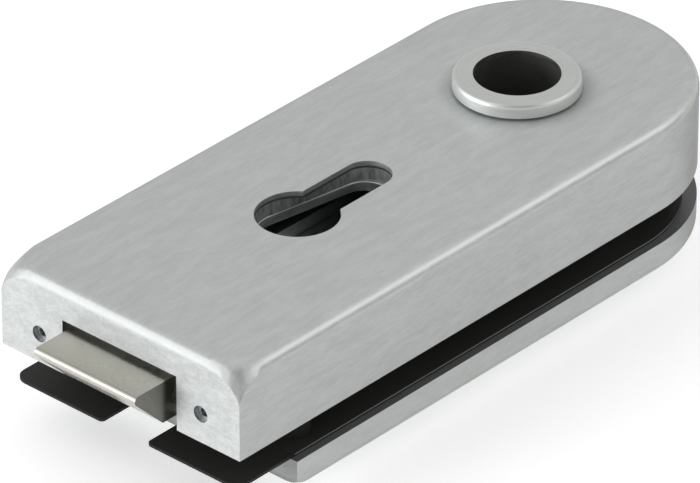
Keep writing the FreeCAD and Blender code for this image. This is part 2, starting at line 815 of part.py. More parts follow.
def is_crosswise(edge, x):
    """Choose the edges across the latch at one place along it."""
    box = edge.BoundBox
    return abs(box.XMin - x) < 1e-4 and abs(box.XMax - x) < 1e-4 and box.YLength > 1


def draw_slide():
    """Steel slide round the cylinder: slot for the latch's stud, lugs for the follower's arms."""
    piece = Piece("draw_slide")
    cross_rear = S.slide_window_rear + S.slide_cross_bar
    lug_end = lug_x + S.lug_thickness
    neck_x = lug_end + S.strip_neck
    outline = mirrored_polygon([
        (-S.slide_front, S.slide_front_half),
        (-S.slide_shoulder, S.slide_front_half),
        (-S.slide_shoulder, S.slide_half_width),
        (cross_rear, S.slide_half_width),
        (cross_rear, S.strip_outer),
        (lug_x, S.strip_outer),
        (lug_x, S.lug_outer),
        (lug_end, S.lug_outer),
        (lug_end, S.strip_outer),
        (neck_x + S.strip_neck, S.strip_outer),
        (neck_x + S.strip_neck, S.bridge_outer),
        (bridge_rear, S.bridge_outer),
    ])
    piece.pad([outline], slide_bottom, slide_top)
    window_half = S.slide_window_half
    piece.pocket([rectangle(-S.slide_window_front, S.slide_window_rear, -window_half, window_half)],
                 slide_bottom, slide_top)
    hub_window = mirrored_polygon([
        (cross_rear, S.strip_inner),
        (neck_x, S.strip_inner),
        (neck_x, S.bridge_inner),
        (bridge_front, S.bridge_inner),
    ])
    piece.pocket([hub_window], slide_bottom, slide_top)
    slot_half = S.stud_width / 2 + S.thread_fit
    slot_end = stud_front + S.stud_length + S.thread_fit
    slot = rectangle(stud_front - S.thread_fit, slot_end, -slot_half, slot_half)
    piece.pocket([slot], slide_bottom, slide_top)
    for side in (1, -1):
        low, high = (S.lug_inner, S.lug_outer) if side > 0 else (-S.lug_outer, -S.lug_inner)
        piece.pad([rectangle(lug_x, lug_end, low, high)], S.lug_bottom, slide_bottom)
    lug_front = bridge_rear - S.lug_thickness
    piece.pad([rectangle(lug_front, bridge_rear, -S.spring_lug_half, S.spring_lug_half)], S.lug_bottom,
              slide_bottom)
    cam_end = S.cam_lug_position + S.cam_lug_length
    cam_lug = rectangle(S.cam_lug_position, cam_end, -S.slide_half_width, -S.slide_window_half)
    piece.pad([cam_lug], S.lug_bottom, slide_bottom)
    cam_finger = rectangle(S.cam_lug_position, cam_end, -S.slide_window_half, -S.cam_lug_inner)
    piece.pad([cam_finger], S.lug_bottom, slide_bottom)


def follower_hub():
    """Follower: two journals, two arms and the spindle's square."""
    piece = Piece("follower_hub")
    piece.pad([circle(spindle_x, ZERO, S.hub_radius)], hub_bottom, hub_top)
    piece.pad([circle(spindle_x, ZERO, S.upper_journal_radius)], hub_top, journal_top)
    piece.pad([circle(spindle_x, ZERO, S.lower_journal_radius)], base_bottom, hub_bottom)
    arm_low = hub_bottom + S.hub_play
    arms = rectangle(spindle_x - S.arm_tip, spindle_x + S.arm_tip, -S.arm_radius, S.arm_radius)
    piece.pad([arms], arm_low, arm_low + S.arm_thickness)
    for side in (1, -1):
        piece.pad([circle(spindle_x, S.arm_radius * side, S.arm_tip)], arm_low, arm_low + S.arm_thickness)
    half = S.spindle_square / 2
    piece.pocket([rectangle(spindle_x - half, spindle_x + half, -half, half)], base_bottom, journal_top)


def lock_slide():
    """Slide that the cylinder's cam throws: cam notch, guide slots, detent notches, blocking finger."""
    piece = Piece("lock_slide")
    finger = S.lock_rear - S.lock_finger_length
    outline = polygon([
        (-S.lock_front, S.lock_inner),
        (-S.cam_notch_half, S.lock_inner),
        (-S.cam_notch_half, S.cam_notch_root),
        (S.cam_notch_half, S.cam_notch_root),
        (S.cam_notch_half, S.lock_inner),
        (finger, S.lock_inner),
        (finger, S.lock_finger_inner),
        (S.lock_rear, S.lock_finger_inner),
        (S.lock_rear, S.lock_outer),
        (-S.lock_front, S.lock_outer),
    ])
    piece.pad([outline], lock_bottom, lock_top)
    slot_radius = S.guide_radius + S.guide_fit
    for x, y in GUIDE_POINTS:
        front = x - S.lock_travel
        slot = [
            line_to(x, y - slot_radius),
            arc_to(x, y + slot_radius, x, y, 1, "y"),
            line_to(front, y + slot_radius),
            arc_to(front, y - slot_radius, front, y, 1, "y"),
        ]
        piece.pocket([slot], lock_bottom, lock_top)
    for x in (S.detent_position, S.detent_position - S.lock_travel):
        notch = polygon([
            (x - S.detent_half, S.lock_outer + S.thread_fit),
            (x, S.lock_outer - S.detent_depth),
            (x + S.detent_half, S.lock_outer + S.thread_fit),
        ])
        piece.pocket([notch], lock_bottom, lock_top)


def lock_slide_guides():
    """Two shoulder rivets in the base plate that the lock slide runs on."""
    piece = Piece("lock_slide_guides", many=True)
    head_bottom = lock_top + S.slide_play
    piece.pad([circle(x, y, S.guide_radius) for x, y in GUIDE_POINTS], base_bottom, head_bottom)
    piece.pad([circle(x, y, S.guide_head) for x, y in GUIDE_POINTS], head_bottom,
              head_bottom + S.guide_head_height)


def detent_spring():
    """Leaf spring with a bump that drops into the lock slide's notches, on a foot."""
    piece = Piece("detent_spring")
    inner = S.lock_outer + S.leaf_offset
    outer = inner + S.leaf_thickness
    tip = S.lock_outer - S.detent_depth + S.detent_fit
    bump_half = S.detent_half + S.leaf_offset
    x = S.detent_position
    left = x - S.leaf_length
    right = x + bump_half + S.leaf_offset
    outline = polygon([
        (left, inner),
        (x - bump_half, inner),
        (x, tip),
        (x + bump_half, inner),
        (right, inner),
        (right, outer),
        (x + bump_half, outer),
        (x, tip + S.leaf_thickness * 1.6),
        (x - bump_half, outer),
        (left, outer),
    ])
    leaf_bottom = base_top + S.leaf_thickness
    piece.pad([outline], base_top, leaf_bottom + S.leaf_height)
    foot = rectangle(left, left + S.leaf_foot, outer, outer + S.leaf_foot * 0.8)
    piece.pad([foot], base_top, leaf_bottom)
    rivet_x, rivet_y = detent_rivet_place()
    piece.pocket([circle(rivet_x, rivet_y, S.detent_rivet + S.thread_fit)], base_top, leaf_bottom)


def detent_rivet_place():
    """The rivet's axis, in the middle of the leaf spring's foot."""
    x = S.detent_position - S.leaf_length + S.leaf_foot / 2
    y = S.lock_outer + S.leaf_offset + S.leaf_thickness + S.leaf_foot * 0.4
    return x, y


def detent_rivet():
    """Rivet that holds the leaf spring's foot on the base plate."""
    piece = Piece("detent_rivet")
    x, y = detent_rivet_place()
    seat = base_top + S.leaf_thickness
    piece.pad([circle(x, y, S.detent_rivet_head)], seat, seat + S.leaf_thickness)
    piece.pad([circle(x, y, S.detent_rivet)], base_top, seat)


def cylinder_screw():
    """Screw from the frame's side to the cylinder, backed out so that the cut-out is free."""
    piece = Piece("cylinder_screw")
    x, z = S.cutout_slot_centre, S.cylinder_screw_height
    head_end = -frame_half + S.cylinder_screw_cone
    tip = -S.cutout_slot_radius - S.cylinder_screw_gap
    piece.pad([circle(x, z, S.cylinder_screw_head)], -frame_half, head_end, plane="XZ")
    piece.pad([circle(x, z, S.cylinder_screw_radius)], head_end, tip, plane="XZ")
    socket = hexagon(x, z, S.cylinder_screw_radius)
    piece.pocket([socket], -frame_half, -frame_half + S.cylinder_screw_cone, plane="XZ")


def clamp_screws():
    """Four cap screws through the glass gap into the counter plate."""
    piece = Piece("clamp_screws", many=True)
    head_top = S.clamp_seat + S.clamp_head_height
    piece.pad([circle(x, y, S.clamp_head_radius) for x, y in CLAMP_POINTS], S.clamp_seat, head_top)
    piece.pad([circle(x, y, S.clamp_shank) for x, y in CLAMP_POINTS], S.clamp_seat - S.clamp_length,
              S.clamp_seat)
    sockets = [hexagon(x, y, S.clamp_head_socket) for x, y in CLAMP_POINTS]
    piece.pocket(sockets, head_top - S.clamp_head_height / 2, head_top)


def glass_sleeves():
    """Four sleeves that keep the screws off the glass."""
    piece = Piece("glass_sleeves", many=True)
    piece.pad([circle(x, y, S.sleeve_radius) for x, y in CLAMP_POINTS], lower_gasket_top, ZERO)
    piece.pocket([circle(x, y, S.sleeve_bore) for x, y in CLAMP_POINTS], lower_gasket_top, ZERO)


def lower_gasket():
    """Thin sheet on the counter plate, with two tabs that reach out under the latch end."""
    piece = Piece("lower_gasket")
    half = half_width - S.lower_gasket_inset
    centre = round_centre_x - S.lower_gasket_end
    front = end_face_x + S.tab_setback
    outer, inner = S.tab_outer_radius, S.tab_inner_radius
    notch = S.tab_notch_half
    notch_end = end_face_x + S.tab_notch_setback
    outline = [
        line_to(centre, -half),
        arc_to(centre, half, centre, ZERO, 1, "y"),
        line_to(front + outer, half),
        arc_to(front, half - outer, front + outer, half - outer, 1, "x"),
        line_to(front, notch + inner),
        arc_to(front + inner, notch, front + inner, notch + inner, 1, "y"),
        line_to(notch_end, notch),
        line_to(notch_end, -notch),
        line_to(front + inner, -notch),
        arc_to(front, -notch - inner, front + inner, -notch - inner, 1, "x"),
        line_to(front, -half + outer),
        arc_to(front + outer, -half, front + outer, -half + outer, 1, "y"),
    ]
    piece.pad([outline], plate_top, lower_gasket_top)
    cut_out = euro_profile(S.cutout_radius, S.cutout_slot_centre, S.cutout_slot_radius)
    bore = circle(spindle_x, ZERO, S.bush_radius + S.bush_fit)
    holes = [circle(x, y, S.clamp_hole) for x, y in CLAMP_POINTS]
    piece.pocket([cut_out, bore] + holes, plate_top, lower_gasket_top)


def counter_plate():
    """Brushed plate on the other side of the glass, its outer edges rounded."""
    piece = Piece("counter_plate_blank", finished=False)
    piece.pad([round_ended(plate_end_x, round_centre_x, half_width)], plate_bottom, plate_top)
    piece.soften("Fillet", S.plate_edge_radius, level_edge(plate_bottom))
    cut_out = euro_profile(S.cutout_radius, S.cutout_slot_centre, S.cutout_slot_radius)
    bore = circle(spindle_x, ZERO, S.bush_radius + S.bush_fit)
    piece.pocket([cut_out, bore], plate_bottom, plate_top)
    piece.pocket([circle(spindle_x, ZERO, S.spigot_radius + S.thread_fit)], plate_bottom,
                 plate_bottom + S.spigot_depth)
    threads = [circle(x, y, S.clamp_shank + S.thread_fit) for x, y in CLAMP_POINTS]
    piece.pocket(threads, S.clamp_seat - S.clamp_length - S.thread_fit, plate_top)
    melt_corners(piece, "counter_plate", plate_end_x, plate_bottom, -1, S.plate_corner_depth)


def handle_ring(name, face, out, bush_end):
    """Turned ring on a face; out is 1 above the case and -1 below the counter plate."""
    piece = Piece(name)
    top = face + S.ring_height * out
    lip = top - S.ring_lip * out
    edge = S.ring_edge
    groove = S.ring_groove_height * out
    inner = S.bush_radius + S.bush_fit
    spigot_end = face - S.spigot_depth * out
    profile = [
        line_to(S.ring_hole, top),
        line_to(S.ring_radius - edge, top),
        arc_to(S.ring_radius, top - edge * out, S.ring_radius - edge, top - edge * out, -out, "x"),
        line_to(S.ring_radius, face + groove),
        line_to(S.ring_radius - S.ring_groove_depth, face + groove),
        line_to(S.ring_radius - S.ring_groove_depth, face),
        line_to(S.spigot_radius, face),
        line_to(S.spigot_radius, spigot_end),
        line_to(inner, spigot_end),
        line_to(inner, lip),
        line_to(S.ring_hole, lip),
    ]
    piece.turn(profile, spindle_x)


def handle_bush_top():
    """Black bush: the handle's collar turns in its upper part, the follower in its lower part."""
    piece = Piece("handle_bush_top")
    top = ring_top - S.ring_lip - S.bush_fit
    step = journal_top + S.hub_play
    bearing = S.upper_journal_radius + S.journal_fit
    profile = polygon([
        (S.bush_radius, bush_bottom),
        (S.bush_radius, top),
        (S.bush_bore, top),
        (S.bush_bore, step),
        (bearing, step),
        (bearing, bush_bottom),
    ])
    piece.turn(profile, spindle_x)


def handle_bush_bottom():
    """Black bush in the counter plate's ring."""
    piece = Piece("handle_bush_bottom")
    low = ring_bottom + S.ring_lip + S.bush_fit
    piece.pad([circle(spindle_x, ZERO, S.bush_radius)], low, plate_top)
    piece.pocket([circle(spindle_x, ZERO, S.bush_bore)], low, plate_top)


def coil(start_x, end_x, y, z, mean, wire, turns):
    """A spring along X: quarter-turn arcs through points of one helix, swept by the wire."""
    steps = turns * 4
    first, last = start_x + wire / 2, end_x - wire / 2
    def point(k):
        angle = k * math.pi / 2
        x = first + (last - first) * k / steps
        return FreeCAD.Vector(x, y + mean * math.cos(angle), z + mean * math.sin(angle))
    edges = [Part.Arc(point(k), point(k + 0.5), point(k + 1)).toShape() for k in range(steps)]
    path = Part.Wire(edges)
    section = Part.Wire(Part.Circle(point(0), path.Edges[0].tangentAt(path.Edges[0].FirstParameter),
                                    wire / 2).toShape())
    tube = path.makePipeShell([section], True, False)
    pitch_gap = (last - first) / turns - wire
    print(f"spring: {turns} turns, gap between turns {pitch_gap:.2f} mm")
    return tube


def spring_piece(name, tubes):
    """A part feature that holds one or more finished spring tubes."""
    feature = document.addObject("Part::Feature", name)
    feature.Label = name
    feature.Shape = tubes[0] if len(tubes) == 1 else Part.makeCompound(tubes)
    feature.Placement = FreeCAD.Placement()
    FINISHED.append(feature)


def latch_springs():
    """Two springs between the latch and the base plate's abutments."""
    start = (latch_rear_x + S.spring_end_gap).value
    end = (-S.abutment_position - S.spring_end_gap).value
    tubes = [
        coil(start, end, side * S.latch_spring_half.value, S.latch_spring_height.value,
             S.latch_spring_mean.value, S.latch_spring_wire.value, LATCH_SPRING_TURNS)
        for side in (1, -1)
    ]
    spring_piece("latch_springs", tubes)


def handle_spring():
    """One strong spring between the draw slide and the frame's round end."""
    start = (bridge_rear + S.spring_end_gap).value
    end = (room_rear - S.spring_end_gap).value - 0.4
    tube = coil(start, end, 0.0, S.handle_spring_height.value, S.handle_spring_mean.value,
                S.handle_spring_wire.value, HANDLE_SPRING_TURNS)
    spring_piece("handle_spring", [tube])


def build():
    """Make every piece."""
    case_cover()
    cover_grub_screws()
    lock_frame()
    mechanism_plate()
    mechanism_plate_screws()
    base_plate()
    base_plate_screws()
    upper_gasket()
    latch_bolt()
    draw_slide()
    follower_hub()
    lock_slide()
    lock_slide_guides()
    detent_spring()
    detent_rivet()
    cylinder_screw()
    clamp_screws()
    glass_sleeves()
    lower_gasket()
    counter_plate()
    handle_ring("handle_ring_top", case_top, 1, bush_bottom)
    handle_ring("handle_ring_bottom", plate_bottom, -1, plate_top)
    handle_bush_top()
    handle_bush_bottom()
    latch_springs()
    handle_spring()


def write_parts():
    """Check every object, then write one file for each sub-part."""
    document.recompute()
    for item in document.Objects:
        if "Invalid" in item.State or "Error" in item.State:
            raise ValueError(f"{item.Label} failed: {item.State}")
        if hasattr(item, "Shape") and not item.isDerivedFrom("Sketcher::SketchObject"):
            if item.TypeId.startswith("Part") and (item.Shape.isNull() or not item.Shape.isValid()):
                raise ValueError(f"{item.Label} has no valid shape")
    os.makedirs("parts", exist_ok=True)
    for item in FINISHED:
        item.Shape.exportStep(f"parts/{item.Label}.step")
        print(f"{item.Label}: {len(item.Shape.Solids)} solids, {item.Shape.Volume:.1f} mm3")


build()
write_parts()
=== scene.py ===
"""Looks of the glass door lock: finishes, coil springs, floor, light and camera round its frame."""

import logging
import math
from dataclasses import dataclass, field
from enum import Enum
from typing import Dict, List, Sequence, Tuple, Union

import bpy
from mathutils import Matrix, Vector

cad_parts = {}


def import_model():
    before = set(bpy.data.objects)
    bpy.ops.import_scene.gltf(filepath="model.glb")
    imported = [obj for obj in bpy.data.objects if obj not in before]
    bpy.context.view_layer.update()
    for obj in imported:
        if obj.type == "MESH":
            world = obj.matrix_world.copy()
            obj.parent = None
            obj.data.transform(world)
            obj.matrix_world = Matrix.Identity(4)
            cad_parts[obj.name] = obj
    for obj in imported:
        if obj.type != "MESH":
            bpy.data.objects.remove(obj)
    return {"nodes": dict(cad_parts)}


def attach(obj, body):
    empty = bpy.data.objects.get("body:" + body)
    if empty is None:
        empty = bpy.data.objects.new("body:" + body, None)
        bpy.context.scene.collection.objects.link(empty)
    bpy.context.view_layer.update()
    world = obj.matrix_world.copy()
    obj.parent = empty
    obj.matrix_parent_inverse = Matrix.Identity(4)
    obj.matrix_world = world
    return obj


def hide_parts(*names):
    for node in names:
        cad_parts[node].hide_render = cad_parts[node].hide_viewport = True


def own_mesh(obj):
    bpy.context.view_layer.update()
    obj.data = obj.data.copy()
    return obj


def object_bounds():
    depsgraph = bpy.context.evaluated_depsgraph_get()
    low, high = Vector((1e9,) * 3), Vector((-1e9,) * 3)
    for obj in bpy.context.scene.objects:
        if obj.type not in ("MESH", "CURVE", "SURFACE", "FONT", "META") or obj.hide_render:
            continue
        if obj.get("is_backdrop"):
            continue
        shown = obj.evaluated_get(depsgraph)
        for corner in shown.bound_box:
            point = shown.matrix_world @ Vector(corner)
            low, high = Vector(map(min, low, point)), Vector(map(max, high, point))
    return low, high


LOG = logging.getLogger("glass_door_lock")
MM = 0.001

Colour = Tuple[float, float, float]
Point = Tuple[float, float, float]
Span = Tuple[float, float]
Socket = bpy.types.NodeSocket
Value = Union[Socket, float]
Node = bpy.types.Node
Material = bpy.types.Material
Object = bpy.types.Object

# The handle's axis, and a box round the cylinder's cut-out: front, rear, left and right.
SPINDLE: Span = (66.2 * MM, 0.0)
CUT_FACES: Tuple[float, float, float, float] = (-9.0 * MM, 26.5 * MM, -9.0 * MM, 9.0 * MM)
SOFT_RIM = 0.1 * MM

# The range that nearly all of a noise lies in, as it is and with more contrast.
NOISE_SPAN: Span = (0.3, 0.7)
FINE_SPAN: Span = (0.32, 0.68)

# Where a part of the surface's normal turns one kind of face into the next.
LEVEL_FACE: Span = (0.97, 0.998)
UPPER_FACE: Span = (0.8, 0.95)
TILTED_FACE: Span = (0.74, 0.25)
UPRIGHT_FACE: Span = (0.6, 0.05)
ROUND_END: Span = (0.15, 0.75)
FLAT_END: Span = (0.5, 0.98)
LEVEL_END: Span = (0.94, 0.995)

WHITE: Colour = (1.0, 1.0, 1.0)
DULL_EDGE: Colour = (0.6, 0.6, 0.6)

# The grain runs crosswise on end faces in front of this point: of none, or of the latch end.
NOWHERE = -1000.0 * MM
LATCH_END = -30.0 * MM

FLOOR_GAP = 0.1 * MM


class Slot(Enum):
    """The material slots that the record names."""

    CASE = "brushed_aluminium"
    RING = "ring_aluminium"
    LATCH = "latch_nickel"
    CAST = "die_cast"
    SHEET = "zinc_steel"
    SCREW = "black_steel"
    SINTERED = "sintered_steel"
    SPRING = "spring_steel"
    PLASTIC = "black_plastic"
    RUBBER = "black_rubber"


class Noise(Enum):
    """Kinds of noise, each with its number of finer layers and their weight."""

    STREAK = (3.0, 0.7)
    TURNING = (4.0, 0.65)
    SPECKLE = (3.0, 0.6)
    CLOUD = (3.0, 0.5)
    SOFT = (2.0, 0.5)


class NodeBench:
    """Adds shader nodes to one node tree and links them."""

    def __init__(self, tree: bpy.types.NodeTree) -> None:
        """Start with an empty tree.

        Args:
            tree: the tree of a material or a world.
        """
        self.tree = tree
        self.tree.nodes.clear()

    def add(self, kind: str, **settings: object) -> Node:
        """Add a node and set its properties.

        Args:
            kind: the node's type name.
            settings: properties of the node, by name.

        Returns:
            The new node.
        """
        node = self.tree.nodes.new(kind)
        for key, value in settings.items():
            setattr(node, key, value)
        return node

    def link(self, output: Socket, target: Socket) -> None:
        """Link an output to an input."""
        self.tree.links.new(output, target)

    def put(self, target: Socket, value: Value) -> None:
        """Link a socket to an input, or set the input to a plain number.

        Args:
            target: the input.
            value: a socket or a number.
        """
        if isinstance(value, bpy.types.NodeSocket):
            self.link(value, target)
        else:
            target.default_value = value

    def math(self, operation: str, first: Value, second: Value = 0.0) -> Socket:
        """Do one sum.

        Args:
            operation: the sum's name.
            first: a socket or a number.
            second: a socket or a number.

        Returns:
            The result.
        """
        node = self.add("ShaderNodeMath", operation=operation)
        self.put(node.inputs[0], first)
        self.put(node.inputs[1], second)
        return node.outputs[0]

    def product(self, first: Value, second: Value) -> Socket:
        """Return two values multiplied."""
        return self.math("MULTIPLY", first, second)

    def total(self, first: Value, second: Value) -> Socket:
        """Return two values added up."""
        return self.math("ADD", first, second)

    def unsigned(self, value: Value) -> Socket:
        """Return a value without its sign."""
        return self.math("ABSOLUTE", value)

    def layered(self, fine: Socket, broad: Socket, share: float) -> Socket:
        """Return two layers of noise in one, the fine one with the given share."""
        return self.total(self.product(fine, share), self.product(broad, 1.0 - share))

    def remap(self, value: Value, low: float, high: float, to_low: float, to_high: float) -> Socket:
        """Map a value from one range to another, smoothly and without overshoot.

        Args:
            value: a socket.
            low: start of the range it comes from.
            high: end of that range.
            to_low: result at the start.
            to_high: result at the end.

        Returns:
            The mapped value.
        """
        node = self.add("ShaderNodeMapRange", interpolation_type="SMOOTHSTEP")
        for slot, entry in enumerate((value, low, high, to_low, to_high)):
            self.put(node.inputs[slot], entry)
        return node.outputs[0]

    def ramp(self, value: Socket, start: float, end: float) -> Socket:
        """Return a mask that goes from 0 to 1 as a value goes from start to end."""
        return self.remap(value, start, end, 0.0, 1.0)

    def spread(self, noise: Socket, low: float, high: float) -> Socket:
        """Spread a noise over a range of values."""
        return self.remap(noise, *NOISE_SPAN, low, high)

    def about(self, noise: Socket, middle: float, swing: float) -> Socket:
        """Let a noise move a value to both sides of its middle."""
        return self.spread(noise, middle - swing, middle + swing)

    def band(self, value: Socket, low: float, high: float, soft: float) -> Socket:
        """Return 1 where a value lies in a range and 0 outside it, with soft ends.

        Args:
            value: a socket.
            low: start of the range.
            high: end of the range.
            soft: width of each end's ramp, outside the range.

        Returns:
            The mask.
        """
        rise = self.remap(value, low - soft, low, 0.0, 1.0)
        fall = self.remap(value, high, high + soft, 1.0, 0.0)
        return self.product(rise, fall)

    def split(self, vector: Socket) -> Sequence[Socket]:
        """Take a vector apart.

        Args:
            vector: the vector.

        Returns:
            Its three parts.
        """
        node = self.add("ShaderNodeSeparateXYZ")
        self.link(vector, node.inputs[0])
        return node.outputs

    def join(self, x: Value, y: Value, z: Value) -> Socket:
        """Make a vector of three parts.

        Args:
            x: a socket or a number.
            y: a socket or a number.
            z: a socket or a number.

        Returns:
            The vector.
        """
        node = self.add("ShaderNodeCombineXYZ")
        for slot, entry in enumerate((x, y, z)):
            self.put(node.inputs[slot], entry)
        return node.outputs[0]

    def scaled(self, vector: Socket, scale: Point) -> Socket:
        """Multiply each part of a vector by a number.

        Args:
            vector: the vector.
            scale: the three numbers.

        Returns:
            The scaled vector.
        """
        node = self.add("ShaderNodeVectorMath", operation="MULTIPLY")
        self.link(vector, node.inputs[0])
        node.inputs[1].default_value = scale
        return node.outputs[0]

    def noise(self, vector: Socket, kind: Noise, scale: float = 1.0) -> Socket:
        """Return smooth noise about 0.5.

        Args:
            vector: where to read it.
            kind: what it looks like.
            scale: its fineness.

        Returns:
            The noise.
        """
        detail, rough = kind.value
        node = self.add("ShaderNodeTexNoise")
        self.link(vector, node.inputs["Vector"])
        node.inputs["Scale"].default_value = scale
        node.inputs["Detail"].default_value = detail
        node.inputs["Roughness"].default_value = rough
        return node.outputs["Fac"]

    def tint(self, factor: Socket, low: Colour, high: Colour) -> Socket:
        """Mix two plain colours.

        Args:
            factor: 0 for the first, 1 for the second.
            low: the first colour.
            high: the second colour.

        Returns:
            The mixed colour.
        """
        node = self.add("ShaderNodeMix", data_type="RGBA")
        self.link(factor, node.inputs["Factor"])
        sockets = [entry for entry in node.inputs if entry.type == "RGBA"]
        sockets[0].default_value = (*low, 1.0)
        sockets[1].default_value = (*high, 1.0)
        return next(entry for entry in node.outputs if entry.type == "RGBA")

    def blend(self, factor: Socket, low: Socket, high: Socket) -> Socket:
        """Mix two colours that come from sockets.

        Args:
            factor: 0 for the first, 1 for the second.
            low: the first colour.
            high: the second colour.

        Returns:
            The mixed colour.
        """
        node = self.add("ShaderNodeMix", data_type="RGBA")
        self.link(factor, node.inputs["Factor"])
        sockets = [entry for entry in node.inputs if entry.type == "RGBA"]
        self.link(low, sockets[0])
        self.link(high, sockets[1])
        return next(entry for entry in node.outputs if entry.type == "RGBA")

    def mix(self, factor: Socket, low: Socket, high: Socket) -> Socket:
        """Mix two values.

        Args:
            factor: 0 for the first, 1 for the second.
            low: the first value.
            high: the second value.

        Returns:
            The mixed value.
        """
        node = self.add("ShaderNodeMix", data_type="FLOAT")
        self.link(factor, node.inputs[0])
        self.link(low, node.inputs[2])
        self.link(high, node.inputs[3])
        return node.outputs[0]


class SurfaceBench(NodeBench):
    """The bench of one material, with its surface shader."""

    def __init__(self, name: str) -> None:
        """Start a material.

        Args:
            name: the material's name.
        """
        self.material: Material = bpy.data.materials.new(name)
        self.material.use_nodes = True
        super().__init__(self.material.node_tree)
        self.shader = self.add("ShaderNodeBsdfPrincipled")
        output = self.add("ShaderNodeOutputMaterial")
        self.link(self.shader.outputs[0], output.inputs["Surface"])

    def fix(self, name: str, value: object) -> None:
        """Set one of the shader's inputs to a value that holds all over the surface."""
        self.shader.inputs[name].default_value = value

    def drive(self, name: str, value: Socket) -> None:
        """Link one of the shader's inputs."""
        self.link(value, self.shader.inputs[name])

    def place(self) -> Socket:
        """Return the point of the surface in the piece's own frame, in metres."""
        return self.add("ShaderNodeTexCoord").outputs["Object"]

    def facing(self) -> Sequence[Socket]:
        """Return the three parts of the surface's normal in the piece's own frame."""
        return self.split(self.add("ShaderNodeTexCoord").outputs["Normal"])

    def upright(self) -> Socket:
        """Return 1 on upright faces and 0 on level ones."""
        return self.ramp(self.unsigned(self.facing()[2]), *UPRIGHT_FACE)

    def radius_about(self, place: Socket, axis: Span) -> Socket:
        """Return the distance of a point from a vertical axis.

        Args:
            place: the point of the surface.
            axis: where the axis stands.

        Returns:
            The distance in metres.
        """
        x, y, _ = self.split(place)
        right = self.math("SUBTRACT", x, axis[0])
        away = self.math("SUBTRACT", y, axis[1])
        return self.math("SQRT", self.total(self.product(right, right), self.product(away, away)))

    def toned(self, tone: Socket, colour: Colour, gain: float, swing: float) -> Socket:
        """Return a colour that a mask makes lighter and darker.

        Args:
            tone: the mask.
            colour: the plain colour.
            gain: how light the result is.
            swing: how far it goes to both sides.

        Returns:
            The colour.
        """
        return self.tint(tone, shade(colour, gain * (1 - swing)), shade(colour, gain * (1 + swing)))

    def relief(self, height: Socket, strength: float, depth: float) -> None:
        """Give the surface a fine relief.

        Args:
            height: the relief's height, from 0 to 1.
            strength: how much of it shows.
            depth: its depth in metres.
        """
        bump = self.add("ShaderNodeBump")
        bump.inputs["Strength"].default_value = strength
        bump.inputs["Distance"].default_value = depth
        self.link(height, bump.inputs["Height"])
        self.drive("Normal", bump.outputs[0])


def shade(colour: Colour, factor: float) -> Colour:
    """Return a colour made lighter or darker."""
    return tuple(min(1.0, part * factor) for part in colour)


@dataclass
class Coat:
    """What the layers of a material have come to."""

    colour: Socket
    rough: Socket
    grain: Socket


@dataclass(frozen=True)
class Finish:
    """What every finish has: its material's name, its colour and its roughness."""

    name: str
    colour: Colour
    roughness: float

    def material(self) -> Material:
        """Build the material, which each finish does in its own way."""
        raise NotImplementedError(self.name)


